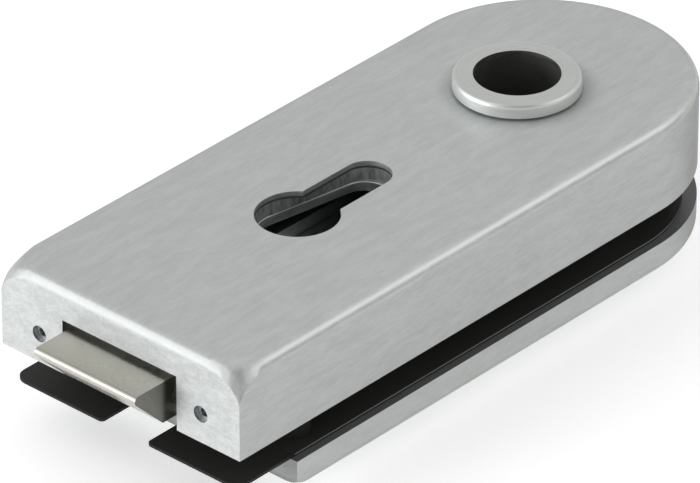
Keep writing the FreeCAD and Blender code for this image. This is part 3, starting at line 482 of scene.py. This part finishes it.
@dataclass(frozen=True)
class BrushedMetal(Finish):
    """Metal with straight grain along its length, and across it on its flat end."""

    grain: float = 0.055
    swing: float = 0.05
    relief: float = 0.10
    relief_depth: float = 0.02 * MM
    length_scale: float = 300.0
    across_scale: float = 1500.0
    cross_lengths: Span = (4.0, 1.7)
    broad_scale: float = 0.27
    fine_share: float = 0.6
    # Painted shade: the sides get a darker copy of the top's colour, and the round end darker still,
    # for how the light falls on them.
    painted_side_gain: float = 1.0
    side_contrast: float = 1.5
    painted_round_gain: float = 1.0
    # Painted shade: the level upper face, which lies under the case against the glass, is painted
    # darker and made less metallic.
    upper_shade_gain: float = 1.0
    upper_metallic: float = 1.0
    face_roughness: float = 0.0
    crosswise_before: float = NOWHERE
    # Painted light and shade: the flat end gets its own lighter or darker copy of the colour, for how
    # the light falls on it.
    painted_end_gain: float = 1.0
    end_contrast: float = 2.2
    end_blend_contrast: float = 0.25
    end_roughness: float = 0.5
    end_metallic: float = 1.0
    edge_tint: Colour = WHITE
    # Painted shade: the walls of the cylinder's cut-out are painted darker, as in a recess, and a
    # band along them darker still as a painted shadow line under the cover.
    cut_shade_gain: float = 1.0
    cut_contrast: float = 1.6
    cut_roughness: Span = (0.55, 0.7)
    gap_shadow_band: Span = (0.0, 0.0)
    gap_shadow_soft: float = 0.15 * MM
    gap_shadow_gain: float = 1.0
    # Painted shade: the top is painted darker round the handle's ring, as its shadow.
    ring_shade_reach: Span = (0.0, 0.0)
    ring_shade_gain: float = 1.0
    matt_ring: Span = (14.0 * MM, 22.0 * MM)
    matt_ring_roughness: float = 0.0

    def streaks(self, bench: SurfaceBench, crosswise: bool) -> Socket:
        """Return the grain, made of a fine and a broad layer.

        Args:
            bench: the material in work.
            crosswise: the grain runs across the piece.

        Returns:
            A value about 0.5.
        """
        along, across = self.length_scale, self.across_scale
        fine = (along, across, across)
        if crosswise:
            along, across = along * self.cross_lengths[0], across * self.cross_lengths[1]
            fine = (across, along, across)
        broad = tuple(part * self.broad_scale for part in fine)
        place = bench.place()
        return bench.layered(
            bench.noise(bench.scaled(place, fine), Noise.STREAK),
            bench.noise(bench.scaled(place, broad), Noise.SOFT), self.fine_share)

    def brushed(
        self, bench: SurfaceBench, grain: Socket, gain: float, contrast: float = 1.0
    ) -> Socket:
        """Return the metal's colour with its grain.

        Args:
            bench: the material in work.
            grain: the grain's value.
            gain: how light the colour is.
            contrast: how strong the grain is.

        Returns:
            The colour.
        """
        return bench.toned(bench.spread(grain, 0.0, 1.0), self.colour, gain, contrast * self.grain)

    def near_ring(self, bench: SurfaceBench, reach: Span) -> Socket:
        """Return 1 beside the handle's ring and 0 farther out.

        Args:
            bench: the material in work.
            reach: distances from the handle's axis where the fall starts and ends.

        Returns:
            The mask.
        """
        return bench.remap(bench.radius_about(bench.place(), SPINDLE), *reach, 1.0, 0.0)

    def face_colour(self, bench: SurfaceBench, grain: Socket) -> Socket:
        """Return the colour of the top, the sides and the round end, with painted shade: sides and
        round end darker than the top, the top darker round the handle's ring, and the level upper
        face darker.

        Args:
            bench: the material in work.
            grain: the grain's value.

        Returns:
            The colour.
        """
        forward, _, upward = bench.facing()
        # Painted shade: the sides and the round end are darker copies of the top's colour.
        side = self.brushed(bench, grain, self.painted_side_gain, self.side_contrast)
        if self.painted_round_gain != 1.0:
            gain = self.painted_side_gain * self.painted_round_gain
            rounded = self.brushed(bench, grain, gain, self.side_contrast)
            side = bench.blend(bench.ramp(forward, *ROUND_END), side, rounded)
        tilted = bench.ramp(bench.unsigned(upward), *TILTED_FACE)
        colour = bench.blend(tilted, self.brushed(bench, grain, 1.0), side)
        # Painted shade: the level top is darker round the handle's ring.
        if self.ring_shade_gain != 1.0:
            level = bench.ramp(upward, *LEVEL_FACE)
            shaded = bench.product(self.near_ring(bench, self.ring_shade_reach), level)
            colour = bench.blend(shaded, colour, self.brushed(bench, grain, self.ring_shade_gain))
        # Painted shade: the level upper face is darker, as under the case.
        if self.upper_shade_gain != 1.0:
            upper = bench.ramp(upward, *UPPER_FACE)
            colour = bench.blend(upper, colour, self.brushed(bench, grain, self.upper_shade_gain))
        return colour

    def face_gloss(self, bench: SurfaceBench, grain: Socket) -> Socket:
        """Return the roughness, which is higher on level faces and beside the handle's ring.

        Args:
            bench: the material in work.
            grain: the grain's value.

        Returns:
            The roughness.
        """
        rough = bench.about(grain, self.roughness, self.swing)
        if self.face_roughness > self.roughness:
            more = self.face_roughness - self.roughness
            rough = bench.total(rough, bench.remap(bench.facing()[2], *LEVEL_FACE, 0.0, more))
        if self.matt_ring_roughness > 0.0:
            matt = bench.product(self.near_ring(bench, self.matt_ring), self.matt_ring_roughness)
            rough = bench.total(rough, matt)
        return rough

    def brush_end(self, bench: SurfaceBench, coat: Coat) -> None:
        """Turn the grain crosswise on the flat end, paint that face lighter or darker for how the
        light falls on it, and make it less like a mirror; make the level upper face less metallic,
        with its painted shade.

        Args:
            bench: the material in work.
            coat: the layers so far.
        """
        forward, _, upward = bench.facing()
        before = bench.math("LESS_THAN", bench.split(bench.place())[0], self.crosswise_before)
        on_end = bench.product(bench.ramp(bench.unsigned(forward), *FLAT_END), before)
        level = bench.ramp(bench.unsigned(forward), *LEVEL_END)
        cross = self.streaks(bench, True)
        # Painted light and shade: the flat end gets its own gain.
        end = bench.blend(
            level, self.brushed(bench, coat.grain, self.painted_end_gain, self.end_blend_contrast),
            self.brushed(bench, cross, self.painted_end_gain, self.end_contrast))
        coat.colour = bench.blend(on_end, coat.colour, end)
        coat.grain = bench.mix(bench.product(on_end, level), coat.grain, cross)
        rough = bench.about(cross, self.end_roughness, self.swing)
        coat.rough = bench.mix(on_end, coat.rough, rough)
        metallic = bench.remap(on_end, 0.0, 1.0, 1.0, self.end_metallic)
        # The level upper face is made less metallic, along with its painted shade.
        if self.upper_metallic != 1.0:
            upper = bench.remap(upward, *UPPER_FACE, 1.0, self.upper_metallic)
            metallic = bench.product(metallic, upper)
        bench.drive("Metallic", metallic)

    def roughen_and_shade_cut(self, bench: SurfaceBench, coat: Coat) -> None:
        """Make the upright walls of the cylinder's cut-out rougher, as the tool left them, and paint
        them darker as painted shade in the recess, with a painted shadow line along the cover's
        underside.

        Args:
            bench: the material in work.
            coat: the layers so far.
        """
        x, y, z = bench.split(bench.place())
        front, rear, left, right = CUT_FACES
        inside = bench.product(bench.upright(), bench.product(
            bench.band(x, front, rear, SOFT_RIM), bench.band(y, left, right, SOFT_RIM)))
        # Painted shade: the walls are a darker copy of the colour.
        wall = self.brushed(bench, coat.grain, self.cut_shade_gain, self.cut_contrast)
        # Painted shadow line along the cover's underside.
        if self.gap_shadow_gain != 1.0:
            shadow = bench.band(z, *self.gap_shadow_band, self.gap_shadow_soft)
            wall = bench.blend(shadow, wall, self.brushed(bench, coat.grain, self.gap_shadow_gain))
        coat.colour = bench.blend(inside, coat.colour, wall)
        coat.rough = bench.mix(inside, coat.rough, bench.spread(coat.grain, *self.cut_roughness))

    def material(self) -> Material:
        """Build the material.

        Returns:
            The finished material.
        """
        bench = SurfaceBench(self.name)
        bench.fix("Metallic", 1.0)
        bench.fix("Specular Tint", (*self.edge_tint, 1.0))
        grain = self.streaks(bench, False)
        coat = Coat(self.face_colour(bench, grain), self.face_gloss(bench, grain), grain)
        if self.crosswise_before > NOWHERE:
            self.brush_end(bench, coat)
        if self.cut_shade_gain != 1.0:
            self.roughen_and_shade_cut(bench, coat)
        bench.drive("Base Color", coat.colour)
        bench.drive("Roughness", coat.rough)
        bench.relief(coat.grain, self.relief, self.relief_depth)
        return bench.material


@dataclass(frozen=True)
class TurnedMetal(Finish):
    """Metal turned on a lathe, with its grain in circles about an upright axis, painted shade in the
    groove at its foot, and its upright outer side painted lighter for how the light falls on it.
    """

    axis: Span
    groove: Span
    grain: float = 0.04
    swing: float = 0.04
    ring_scale: float = 2400.0
    turn_scale: float = 1.3
    relief: float = 0.15
    relief_depth: float = 0.02 * MM
    # Painted shade in the groove, and a painted lighter upright outer side.
    groove_shade_gain: float = 0.32
    painted_side_gain: float = 1.0
    side_roughness: float = 0.5
    side_beyond: float = 11.5 * MM

    def material(self) -> Material:
        """Build the material.

        Returns:
            The finished material.
        """
        bench = SurfaceBench(self.name)
        place = bench.place()
        x, y, z = bench.split(place)
        radius = bench.radius_about(place, self.axis)
        right = bench.math("SUBTRACT", x, self.axis[0])
        away = bench.math("SUBTRACT", y, self.axis[1])
        turn = bench.math("ARCTAN2", away, right)
        rings = bench.join(
            bench.product(radius, self.ring_scale), bench.product(turn, self.turn_scale),
            bench.product(z, self.ring_scale))
        grain = bench.noise(rings, Noise.TURNING)
        tone = bench.spread(grain, 0.0, 1.0)
        beyond = bench.math("GREATER_THAN", radius, self.side_beyond)
        outer = bench.product(bench.upright(), beyond)
        # Painted light: the upright outer side is a lighter copy of the colour.
        colour = bench.blend(
            outer, bench.toned(tone, self.colour, 1.0, self.grain),
            bench.toned(tone, self.colour, self.painted_side_gain, self.grain))
        # Painted shade: the groove's walls are painted dark.
        in_groove = bench.product(bench.upright(), bench.band(radius, *self.groove, SOFT_RIM))
        dark = bench.toned(tone, self.colour, self.groove_shade_gain, 0.0)
        colour = bench.blend(in_groove, colour, dark)
        bench.drive("Base Color", colour)
        bench.fix("Metallic", 1.0)
        bench.drive("Roughness", bench.mix(
            outer, bench.about(grain, self.roughness, self.swing),
            bench.about(grain, self.side_roughness, self.swing)))
        bench.relief(grain, self.relief, self.relief_depth)
        return bench.material


@dataclass(frozen=True)
class SpeckledFinish(Finish):
    """A cast, sintered, plated or moulded surface: fine speckle over soft clouds."""

    metallic: float
    speckle: float
    swing: float = 0.07
    fineness: float = 2600.0
    fine_share: float = 0.6
    cloud_size: float = 14.0
    relief: float = 0.25
    relief_depth: float = 0.03 * MM
    gloss: float = 0.5
    drawn: float = 1.0

    def material(self) -> Material:
        """Build the material.

        Returns:
            The finished material.
        """
        bench = SurfaceBench(self.name)
        place = bench.scaled(bench.place(), (1.0, 1.0, self.drawn))
        grain = bench.noise(place, Noise.SPECKLE, self.fineness)
        cloud = bench.noise(place, Noise.CLOUD, self.fineness / self.cloud_size)
        tone = bench.ramp(bench.layered(grain, cloud, self.fine_share), *FINE_SPAN)
        bench.drive("Base Color", bench.toned(tone, self.colour, 1.0, self.speckle))
        bench.fix("Metallic", self.metallic)
        bench.fix("Specular IOR Level", self.gloss)
        bench.drive("Roughness", bench.about(cloud, self.roughness, self.swing))
        bench.relief(grain, self.relief, self.relief_depth)
        return bench.material


@dataclass(frozen=True)
class SatinPlating(Finish):
    """Satin nickel plating: faint lines across the piece, the flanks painted darker as shade, and the
    rounded nose painted in its own tone for how the light falls on it.
    """

    grain: float = 0.02
    swing: float = 0.02
    line_scale: Point = (2200.0, 170.0, 2200.0)
    line_share: float = 0.5
    cloud_scale: float = 160.0
    flank: Span = (0.75, 0.98)
    # Painted shade: the flanks are a darker copy of the colour.
    flank_shade_gain: float = 0.46
    nose_forward: Span = (-0.95, -0.25)
    nose_upward: Span = (0.25, 0.95)
    nose_soft: float = 0.1
    # The rounded nose's own painted tone, for how the light falls on it.
    painted_nose_gain: float = 1.0

    def material(self) -> Material:
        """Build the material.

        Returns:
            The finished material.
        """
        bench = SurfaceBench(self.name)
        place = bench.place()
        lines = bench.noise(bench.scaled(place, self.line_scale), Noise.SPECKLE)
        cloud = bench.noise(place, Noise.SOFT, self.cloud_scale)
        tone = bench.spread(bench.layered(lines, cloud, self.line_share), 0.0, 1.0)
        # Painted tones: the flanks' shade and the nose's own tone.
        gains = (1.0, self.flank_shade_gain, self.painted_nose_gain)
        face, flank, nose = (bench.toned(tone, self.colour, gain, self.grain) for gain in gains)
        forward, sideways, upward = bench.facing()
        turned = bench.ramp(bench.unsigned(sideways), *self.flank)
        rounded = bench.product(
            bench.band(forward, *self.nose_forward, self.nose_soft),
            bench.band(upward, *self.nose_upward, self.nose_soft))
        bench.drive("Base Color", bench.blend(rounded, bench.blend(turned, face, flank), nose))
        bench.fix("Metallic", 1.0)
        bench.drive("Roughness", bench.about(cloud, self.roughness, self.swing))
        return bench.material


@dataclass(frozen=True)
class RubberSheet(Finish):
    """Black sheet: matt face, cut sides painted darker as shade, and a painted highlight line along
    the lower one's upper edge.
    """

    # Painted highlight: a paler line along the lower sheet's upper edge, past the tabs.
    edge_highlight_colour: Colour
    edge_levels: Span
    edge_after: float
    edge_soft: float = 0.05 * MM
    edge_face: Span = (0.90, 0.99)
    edge_speckle: float = 0.4
    # Painted shade: the cut sides are a darker copy of the colour.
    cut_face: Span = (0.3, 0.1)
    side_shade_gains: Span = (0.3, 0.6)
    speckle: float = 0.2
    swing: float = 0.06
    fineness: float = 2600.0
    relief: float = 0.25
    relief_depth: float = 0.03 * MM
    gloss: float = 0.14

    def material(self) -> Material:
        """Build the material.

        Returns:
            The finished material.
        """
        bench = SurfaceBench(self.name)
        place = bench.place()
        x, _, z = bench.split(place)
        tilt = bench.unsigned(bench.facing()[2])
        grain = bench.noise(place, Noise.SPECKLE, self.fineness)
        face = bench.toned(bench.ramp(grain, *FINE_SPAN), self.colour, 1.0, self.speckle)
        # Painted shade on the cut sides.
        side = bench.tint(grain, *(shade(self.colour, gain) for gain in self.side_shade_gains))
        sheet = bench.blend(bench.ramp(tilt, *self.cut_face), face, side)
        # Painted highlight line along the lower sheet's upper edge, clear of the tabs.
        clear_of_tabs = bench.math("GREATER_THAN", x, self.edge_after)
        at_edge = bench.product(bench.band(z, *self.edge_levels, self.edge_soft), clear_of_tabs)
        rim = bench.product(bench.remap(tilt, *self.edge_face, 1.0, 0.0), at_edge)
        painted_edge_line = bench.toned(grain, self.edge_highlight_colour, 1.0, self.edge_speckle)
        bench.drive("Base Color", bench.blend(rim, sheet, painted_edge_line))
        bench.fix("Specular IOR Level", self.gloss)
        bench.drive("Roughness", bench.about(grain, self.roughness, self.swing))
        bench.relief(grain, self.relief, self.relief_depth)
        return bench.material


@dataclass(frozen=True)
class FinishBook:
    """Every finish on the lock."""

    # The gains below paint light and shade into the colours of faces, ends, cut-outs, grooves, flanks
    # and edges.
    case: BrushedMetal = BrushedMetal(
        "satin_brushed_aluminium", (0.685, 0.705, 0.695), 0.33, grain=0.068,
        painted_side_gain=0.64, painted_round_gain=0.74, face_roughness=0.42,
        crosswise_before=LATCH_END, painted_end_gain=0.76, end_metallic=0.25, edge_tint=DULL_EDGE,
        cut_shade_gain=0.64, gap_shadow_band=(18.0 * MM, 18.55 * MM), gap_shadow_gain=0.22,
        ring_shade_reach=(12.4 * MM, 17.5 * MM), ring_shade_gain=0.8, matt_ring_roughness=0.33)
    plate: BrushedMetal = BrushedMetal(
        "satin_brushed_plate", (0.65, 0.67, 0.655), 0.33,
        painted_side_gain=0.74, painted_round_gain=0.74, upper_shade_gain=0.22, upper_metallic=0.2,
        crosswise_before=LATCH_END, painted_end_gain=0.52, edge_tint=DULL_EDGE, cut_shade_gain=0.85)
    ring: TurnedMetal = TurnedMetal(
        "turned_aluminium", (0.67, 0.685, 0.67), 0.31,
        axis=SPINDLE, groove=(12.1 * MM, 12.6 * MM), painted_side_gain=1.12)
    latch: SatinPlating = SatinPlating(
        "satin_nickel", (0.525, 0.51, 0.453), 0.28, painted_nose_gain=0.85)
    frame: SpeckledFinish = SpeckledFinish(
        "dark_die_cast", (0.34, 0.36, 0.35), 0.5,
        metallic=0.7, speckle=0.5, fineness=1100.0, drawn=0.25)
    sheet: BrushedMetal = BrushedMetal(
        "zinc_plated_sheet", (0.60, 0.63, 0.61), 0.38, grain=0.08, cut_shade_gain=0.6)
    screw: SpeckledFinish = SpeckledFinish(
        "blackened_steel", (0.045, 0.045, 0.048), 0.42, metallic=0.6, speckle=0.2)
    grub: SpeckledFinish = SpeckledFinish(
        "zinc_plated_screw", (0.42, 0.44, 0.45), 0.34, metallic=1.0, speckle=0.1)
    hub: SpeckledFinish = SpeckledFinish(
        "sintered_steel", (0.10, 0.10, 0.10), 0.5, metallic=0.8, speckle=0.2)
    wire: SpeckledFinish = SpeckledFinish(
        "spring_steel", (0.35, 0.35, 0.34), 0.35, metallic=1.0, speckle=0.1)
    bush: SpeckledFinish = SpeckledFinish(
        "black_acetal", (0.045, 0.047, 0.040), 0.5, metallic=0.0, speckle=0.2)
    sleeve: SpeckledFinish = SpeckledFinish(
        "black_nylon", (0.014, 0.014, 0.013), 0.6, metallic=0.0, speckle=0.2, gloss=0.1)
    rubber: RubberSheet = RubberSheet(
        "black_sheet", (0.031, 0.031, 0.029), 0.42, edge_highlight_colour=(0.16, 0.16, 0.155),
        edge_levels=(-7.62 * MM, -7.30 * MM), edge_after=-34.0 * MM)


class Dresser:
    """Gives CAD nodes and pieces their finish, and softens their edges."""

    WELD_GAP = 0.0005 * MM
    BEVEL_STEPS = 2
    BEVEL_ANGLE = math.radians(35)
    SPLIT_ANGLE = math.radians(30)
    FULL_WEIGHT = 100

    def __init__(self, nodes: Dict[str, Object]) -> None:
        """Keep the frame's nodes, and start with no material built.

        Args:
            nodes: the CAD objects by name.
        """
        self.nodes = nodes
        self.materials: Dict[str, Material] = {}

    def dress(self, names: Sequence[str], finish: Finish, slot: Slot, bevel: float = 0.0) -> None:
        """Give nodes a finish and, where asked, rounded edges.

        Args:
            names: the nodes.
            finish: what they get.
            slot: the record's material slot.
            bevel: the edges' rounding in metres.
        """
        for name in names:
            self.coat(self.nodes[name], finish, slot, bevel)

    def coat(self, piece: Object, finish: Finish, slot: Slot, bevel: float = 0.0) -> None:
        """Give one piece a finish and, where asked, rounded edges.

        Args:
            piece: the object.
            finish: what it gets. Its material is built once, for all pieces that have it.
            slot: the record's material slot; not used.
            bevel: the edges' rounding in metres.
        """
        if finish.name not in self.materials:
            self.materials[finish.name] = finish.material()
        piece.data.materials.clear()
        piece.data.materials.append(self.materials[finish.name])
        self.soften(piece, bevel)
        LOG.info("dressed %s with %s", piece.name, finish.name)

    def soften(self, piece: Object, bevel: float) -> None:
        """Shade a piece smoothly between its real edges, and round those edges a little.

        Args:
            piece: the object.
            bevel: the rounding in metres, or 0 for none.
        """
        weld = piece.modifiers.new("weld", "WELD")
        weld.merge_threshold = self.WELD_GAP
        if bevel > 0:
            edge = piece.modifiers.new("edge", "BEVEL")
            edge.width = bevel
            edge.segments = self.BEVEL_STEPS
            edge.limit_method = "ANGLE"
            edge.angle_limit = self.BEVEL_ANGLE
            edge.use_clamp_overlap = True
            edge.harden_normals = True
            edge.miter_outer = "MITER_ARC"
        else:
            split = piece.modifiers.new("sharp", "EDGE_SPLIT")
            split.split_angle = self.SPLIT_ANGLE
        even = piece.modifiers.new("even", "WEIGHTED_NORMAL")
        even.mode = "FACE_AREA"
        even.weight = self.FULL_WEIGHT
        even.keep_sharp = True


@dataclass
class LockHousing:
    """The case, counter plate, rings, sheets and everything fixed in them."""

    finishes: FinishBook
    cover_edge: float = 0.1 * MM
    plate_edge: float = 0.15 * MM
    sheet_edge: float = 0.12 * MM
    ledge_edge: float = 0.22 * MM

    def build(self, dresser: Dresser) -> None:
        """Dress the fixed nodes.

        Args:
            dresser: the frame's nodes.
        """
        book = self.finishes
        dresser.dress(["case_cover"], book.case, Slot.CASE, self.cover_edge)
        dresser.dress(["counter_plate"], book.plate, Slot.CASE, self.plate_edge)
        dresser.dress(["handle_ring_top", "handle_ring_bottom"], book.ring, Slot.RING)
        dresser.dress(["lock_frame"], book.frame, Slot.CAST)
        dresser.dress(["mechanism_plate"], book.sheet, Slot.SHEET, self.ledge_edge)
        dresser.dress(["base_plate"], book.sheet, Slot.SHEET)
        dresser.dress(["cover_grub_screws"], book.grub, Slot.SHEET)
        screws = ["mechanism_plate_screws", "base_plate_screws", "clamp_screws", "cylinder_screw"]
        dresser.dress(screws, book.screw, Slot.SCREW)
        sprung = ["lock_slide_guides", "detent_rivet", "detent_spring"]
        dresser.dress(sprung, book.wire, Slot.SPRING)
        dresser.dress(["handle_bush_top", "handle_bush_bottom"], book.bush, Slot.PLASTIC)
        dresser.dress(["glass_sleeves"], book.sleeve, Slot.PLASTIC)
        dresser.dress(["upper_gasket", "lower_gasket"], book.rubber, Slot.RUBBER, self.sheet_edge)


@dataclass
class LatchTrain:
    """The follower, the draw slide, the latch and the lock slide."""

    finishes: FinishBook
    latch_edge: float = 0.35 * MM

    def build(self, dresser: Dresser) -> None:
        """Dress the moving nodes.

        Args:
            dresser: the frame's nodes.
        """
        book = self.finishes
        dresser.dress(["latch_bolt"], book.latch, Slot.LATCH, self.latch_edge)
        dresser.dress(["draw_slide", "lock_slide"], book.sheet, Slot.SHEET)
        dresser.dress(["follower_hub"], book.hub, Slot.SINTERED)


@dataclass
class CoilSprings:
    """The coil springs, which rest on the case at their +X end; in the real lock they shorten with
    the latch.
    """

    finishes: FinishBook
    stroke: float = 9.5 * MM

    def build(self, dresser: Dresser) -> None:
        """Stand a piece in for each spring's node, fixed to the case, and hide the node.

        Args:
            dresser: the frame's nodes.
        """
        for name in ("latch_springs", "handle_spring"):
            piece = bpy.data.objects.new(f"{name}_coils", dresser.nodes[name].data.copy())
            bpy.context.scene.collection.objects.link(piece)
            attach(piece, "case")
            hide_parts(name)
            dresser.coat(piece, self.finishes.wire, Slot.SPRING)
            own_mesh(piece)


@dataclass
class Softbox:
    """One area light, aimed at the lock."""

    name: str
    place: Point
    size: Span
    watts: float
    tone: Colour
    aim: Point = (0.02, 0.0, 0.0)

    def build(self) -> None:
        """Add the light to the scene."""
        data = bpy.data.lights.new(self.name, "AREA")
        data.shape = "RECTANGLE"
        data.size, data.size_y = self.size
        data.energy = self.watts
        data.color = self.tone
        lamp = bpy.data.objects.new(self.name, data)
        lamp.location = self.place
        beam = Vector(self.aim) - Vector(self.place)
        lamp.rotation_euler = beam.to_track_quat("-Z", "Y").to_euler()
        bpy.context.scene.collection.objects.link(lamp)


@dataclass(frozen=True)
class SkySpot:
    """A soft patch of the sky that is brighter or darker than the rest."""

    towards: Point
    reach: Span
    strength: float

    def level(self, bench: NodeBench, outward: Socket) -> Socket:
        """Return what the patch adds to the sky's strength.

        Args:
            bench: the world's bench.
            outward: the direction looked at.

        Returns:
            The strength it adds.
        """
        towards = bench.add("ShaderNodeVectorMath", operation="DOT_PRODUCT")
        bench.link(outward, towards.inputs[0])
        towards.inputs[1].default_value = Vector(self.towards).normalized()
        return bench.remap(towards.outputs["Value"], *self.reach, 0.0, self.strength)


@dataclass(frozen=True)
class PhotoView:
    """The photograph's camera, in the lock's frame."""

    azimuth: float = math.radians(47.868)
    elevation: float = math.radians(31.623)
    distance: float = 1641.4 * MM
    aim: Span = (22.98 * MM, 6.735 * MM)
    focal_pixels: float = 8128.6
    width_pixels: int = 700
    sensor: float = 36.0
    nearest: float = 0.01
    farthest: float = 20.0

    def lens(self) -> float:
        """Return the focal length in the sensor's millimetres."""
        return self.focal_pixels / self.width_pixels * self.sensor

    def pose(self) -> Matrix:
        """Work out where the camera stands and how it is turned.

        Returns:
            The camera's matrix.
        """
        level = math.cos(self.elevation)
        forward = Vector((math.sin(self.azimuth) * level, math.cos(self.azimuth) * level,
                          -math.sin(self.elevation)))
        right = Vector((math.cos(self.azimuth), -math.sin(self.azimuth), 0.0))
        up = right.cross(forward)
        turn = Matrix((right, up, -forward)).transposed().to_4x4()
        place = Vector((*self.aim, 0.0)) - forward * self.distance
        return Matrix.Translation(place) @ turn

    def build(self) -> None:
        """Stand the camera where the photograph was taken from."""
        data = bpy.data.cameras.new("photo_camera")
        data.sensor_width = self.sensor
        data.sensor_fit = "HORIZONTAL"
        data.lens = self.lens()
        data.clip_start = self.nearest
        data.clip_end = self.farthest
        camera = bpy.data.objects.new("photo_camera", data)
        camera.matrix_world = self.pose()
        bpy.context.scene.collection.objects.link(camera)
        bpy.context.scene.camera = camera


@dataclass
class Studio:
    """Floor, light and camera."""

    floor_level: float
    floor_half: float = 4.0
    floor_colour: Colour = (0.92, 0.92, 0.92)
    floor_roughness: float = 0.9
    floor_glow: float = 0.40
    world_light: float = 0.66
    sky_spots: List[SkySpot] = field(default_factory=lambda: [
        SkySpot((-0.34, -0.40, 0.85), (0.80, 0.98), -0.26),
        SkySpot((-0.60, 0.30, 0.74), (0.86, 0.98), 0.45),
        SkySpot((0.35, -0.60, 0.72), (0.86, 0.98), 0.25),
    ])
    softboxes: List[Softbox] = field(default_factory=lambda: [
        Softbox("latch_side", (-0.85, 0.86, 0.50), (1.3, 0.95), 3.0, (0.965, 0.985, 1.0)),
        Softbox("front", (-1.28, 0.72, 0.22), (0.9, 0.4), 9.3, (0.965, 0.985, 1.0)),
        Softbox("near_side", (0.78, -0.66, 0.65), (1.1, 0.53), 0.56, (1.0, 0.99, 0.96)),
    ])

    def floor(self) -> None:
        """Lay a plain pale floor under the lock."""
        mesh = bpy.data.meshes.new("floor")
        half = self.floor_half
        corners = [(-half, -half, 0), (half, -half, 0), (half, half, 0), (-half, half, 0)]
        mesh.from_pydata(corners, [], [(0, 1, 2, 3)])
        ground = bpy.data.objects.new("floor", mesh)
        ground.location = (0, 0, self.floor_level)
        bench = SurfaceBench("pale_floor")
        bench.fix("Base Color", (*self.floor_colour, 1.0))
        bench.fix("Roughness", self.floor_roughness)
        bench.fix("Emission Color", (*WHITE, 1.0))
        bench.fix("Emission Strength", self.floor_glow)
        ground.data.materials.append(bench.material)
        bpy.context.scene.collection.objects.link(ground)
        ground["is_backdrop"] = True

    def sky(self) -> None:
        """Light the scene softly from all round, with a few soft patches."""
        world = bpy.data.worlds.new("studio")
        world.use_nodes = True
        bench = NodeBench(world.node_tree)
        background = bench.add("ShaderNodeBackground")
        background.inputs["Color"].default_value = (*WHITE, 1.0)
        outward = bench.add("ShaderNodeTexCoord").outputs["Generated"]
        level: Value = self.world_light
        for spot in self.sky_spots:
            level = bench.total(level, spot.level(bench, outward))
        bench.link(level, background.inputs["Strength"])
        output = bench.add("ShaderNodeOutputWorld")
        bench.link(background.outputs[0], output.inputs["Surface"])
        bpy.context.scene.world = world

    def build(self) -> None:
        """Add floor, light and camera."""
        self.floor()
        self.sky()
        for softbox in self.softboxes:
            softbox.build()
        PhotoView().build()
        settings = bpy.context.scene.view_settings
        settings.view_transform = "Standard"
        settings.look = "None"


def plain(bounds: Sequence[Vector]) -> List[List[float]]:
    """Return corners as plain lists of numbers."""
    return [[float(part) for part in corner] for corner in bounds]


def main() -> None:
    """Load the frame, dress it and light it."""
    logging.basicConfig(level=logging.INFO, format="%(name)s: %(message)s")
    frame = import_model()
    cad_box = plain(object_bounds())
    dresser = Dresser(frame["nodes"])
    book = FinishBook()
    for part in (LockHousing(book), LatchTrain(book), CoilSprings(book)):
        part.build(dresser)
    Studio(floor_level=cad_box[0][2] - FLOOR_GAP).build()


if __name__ == "__main__":
    main()
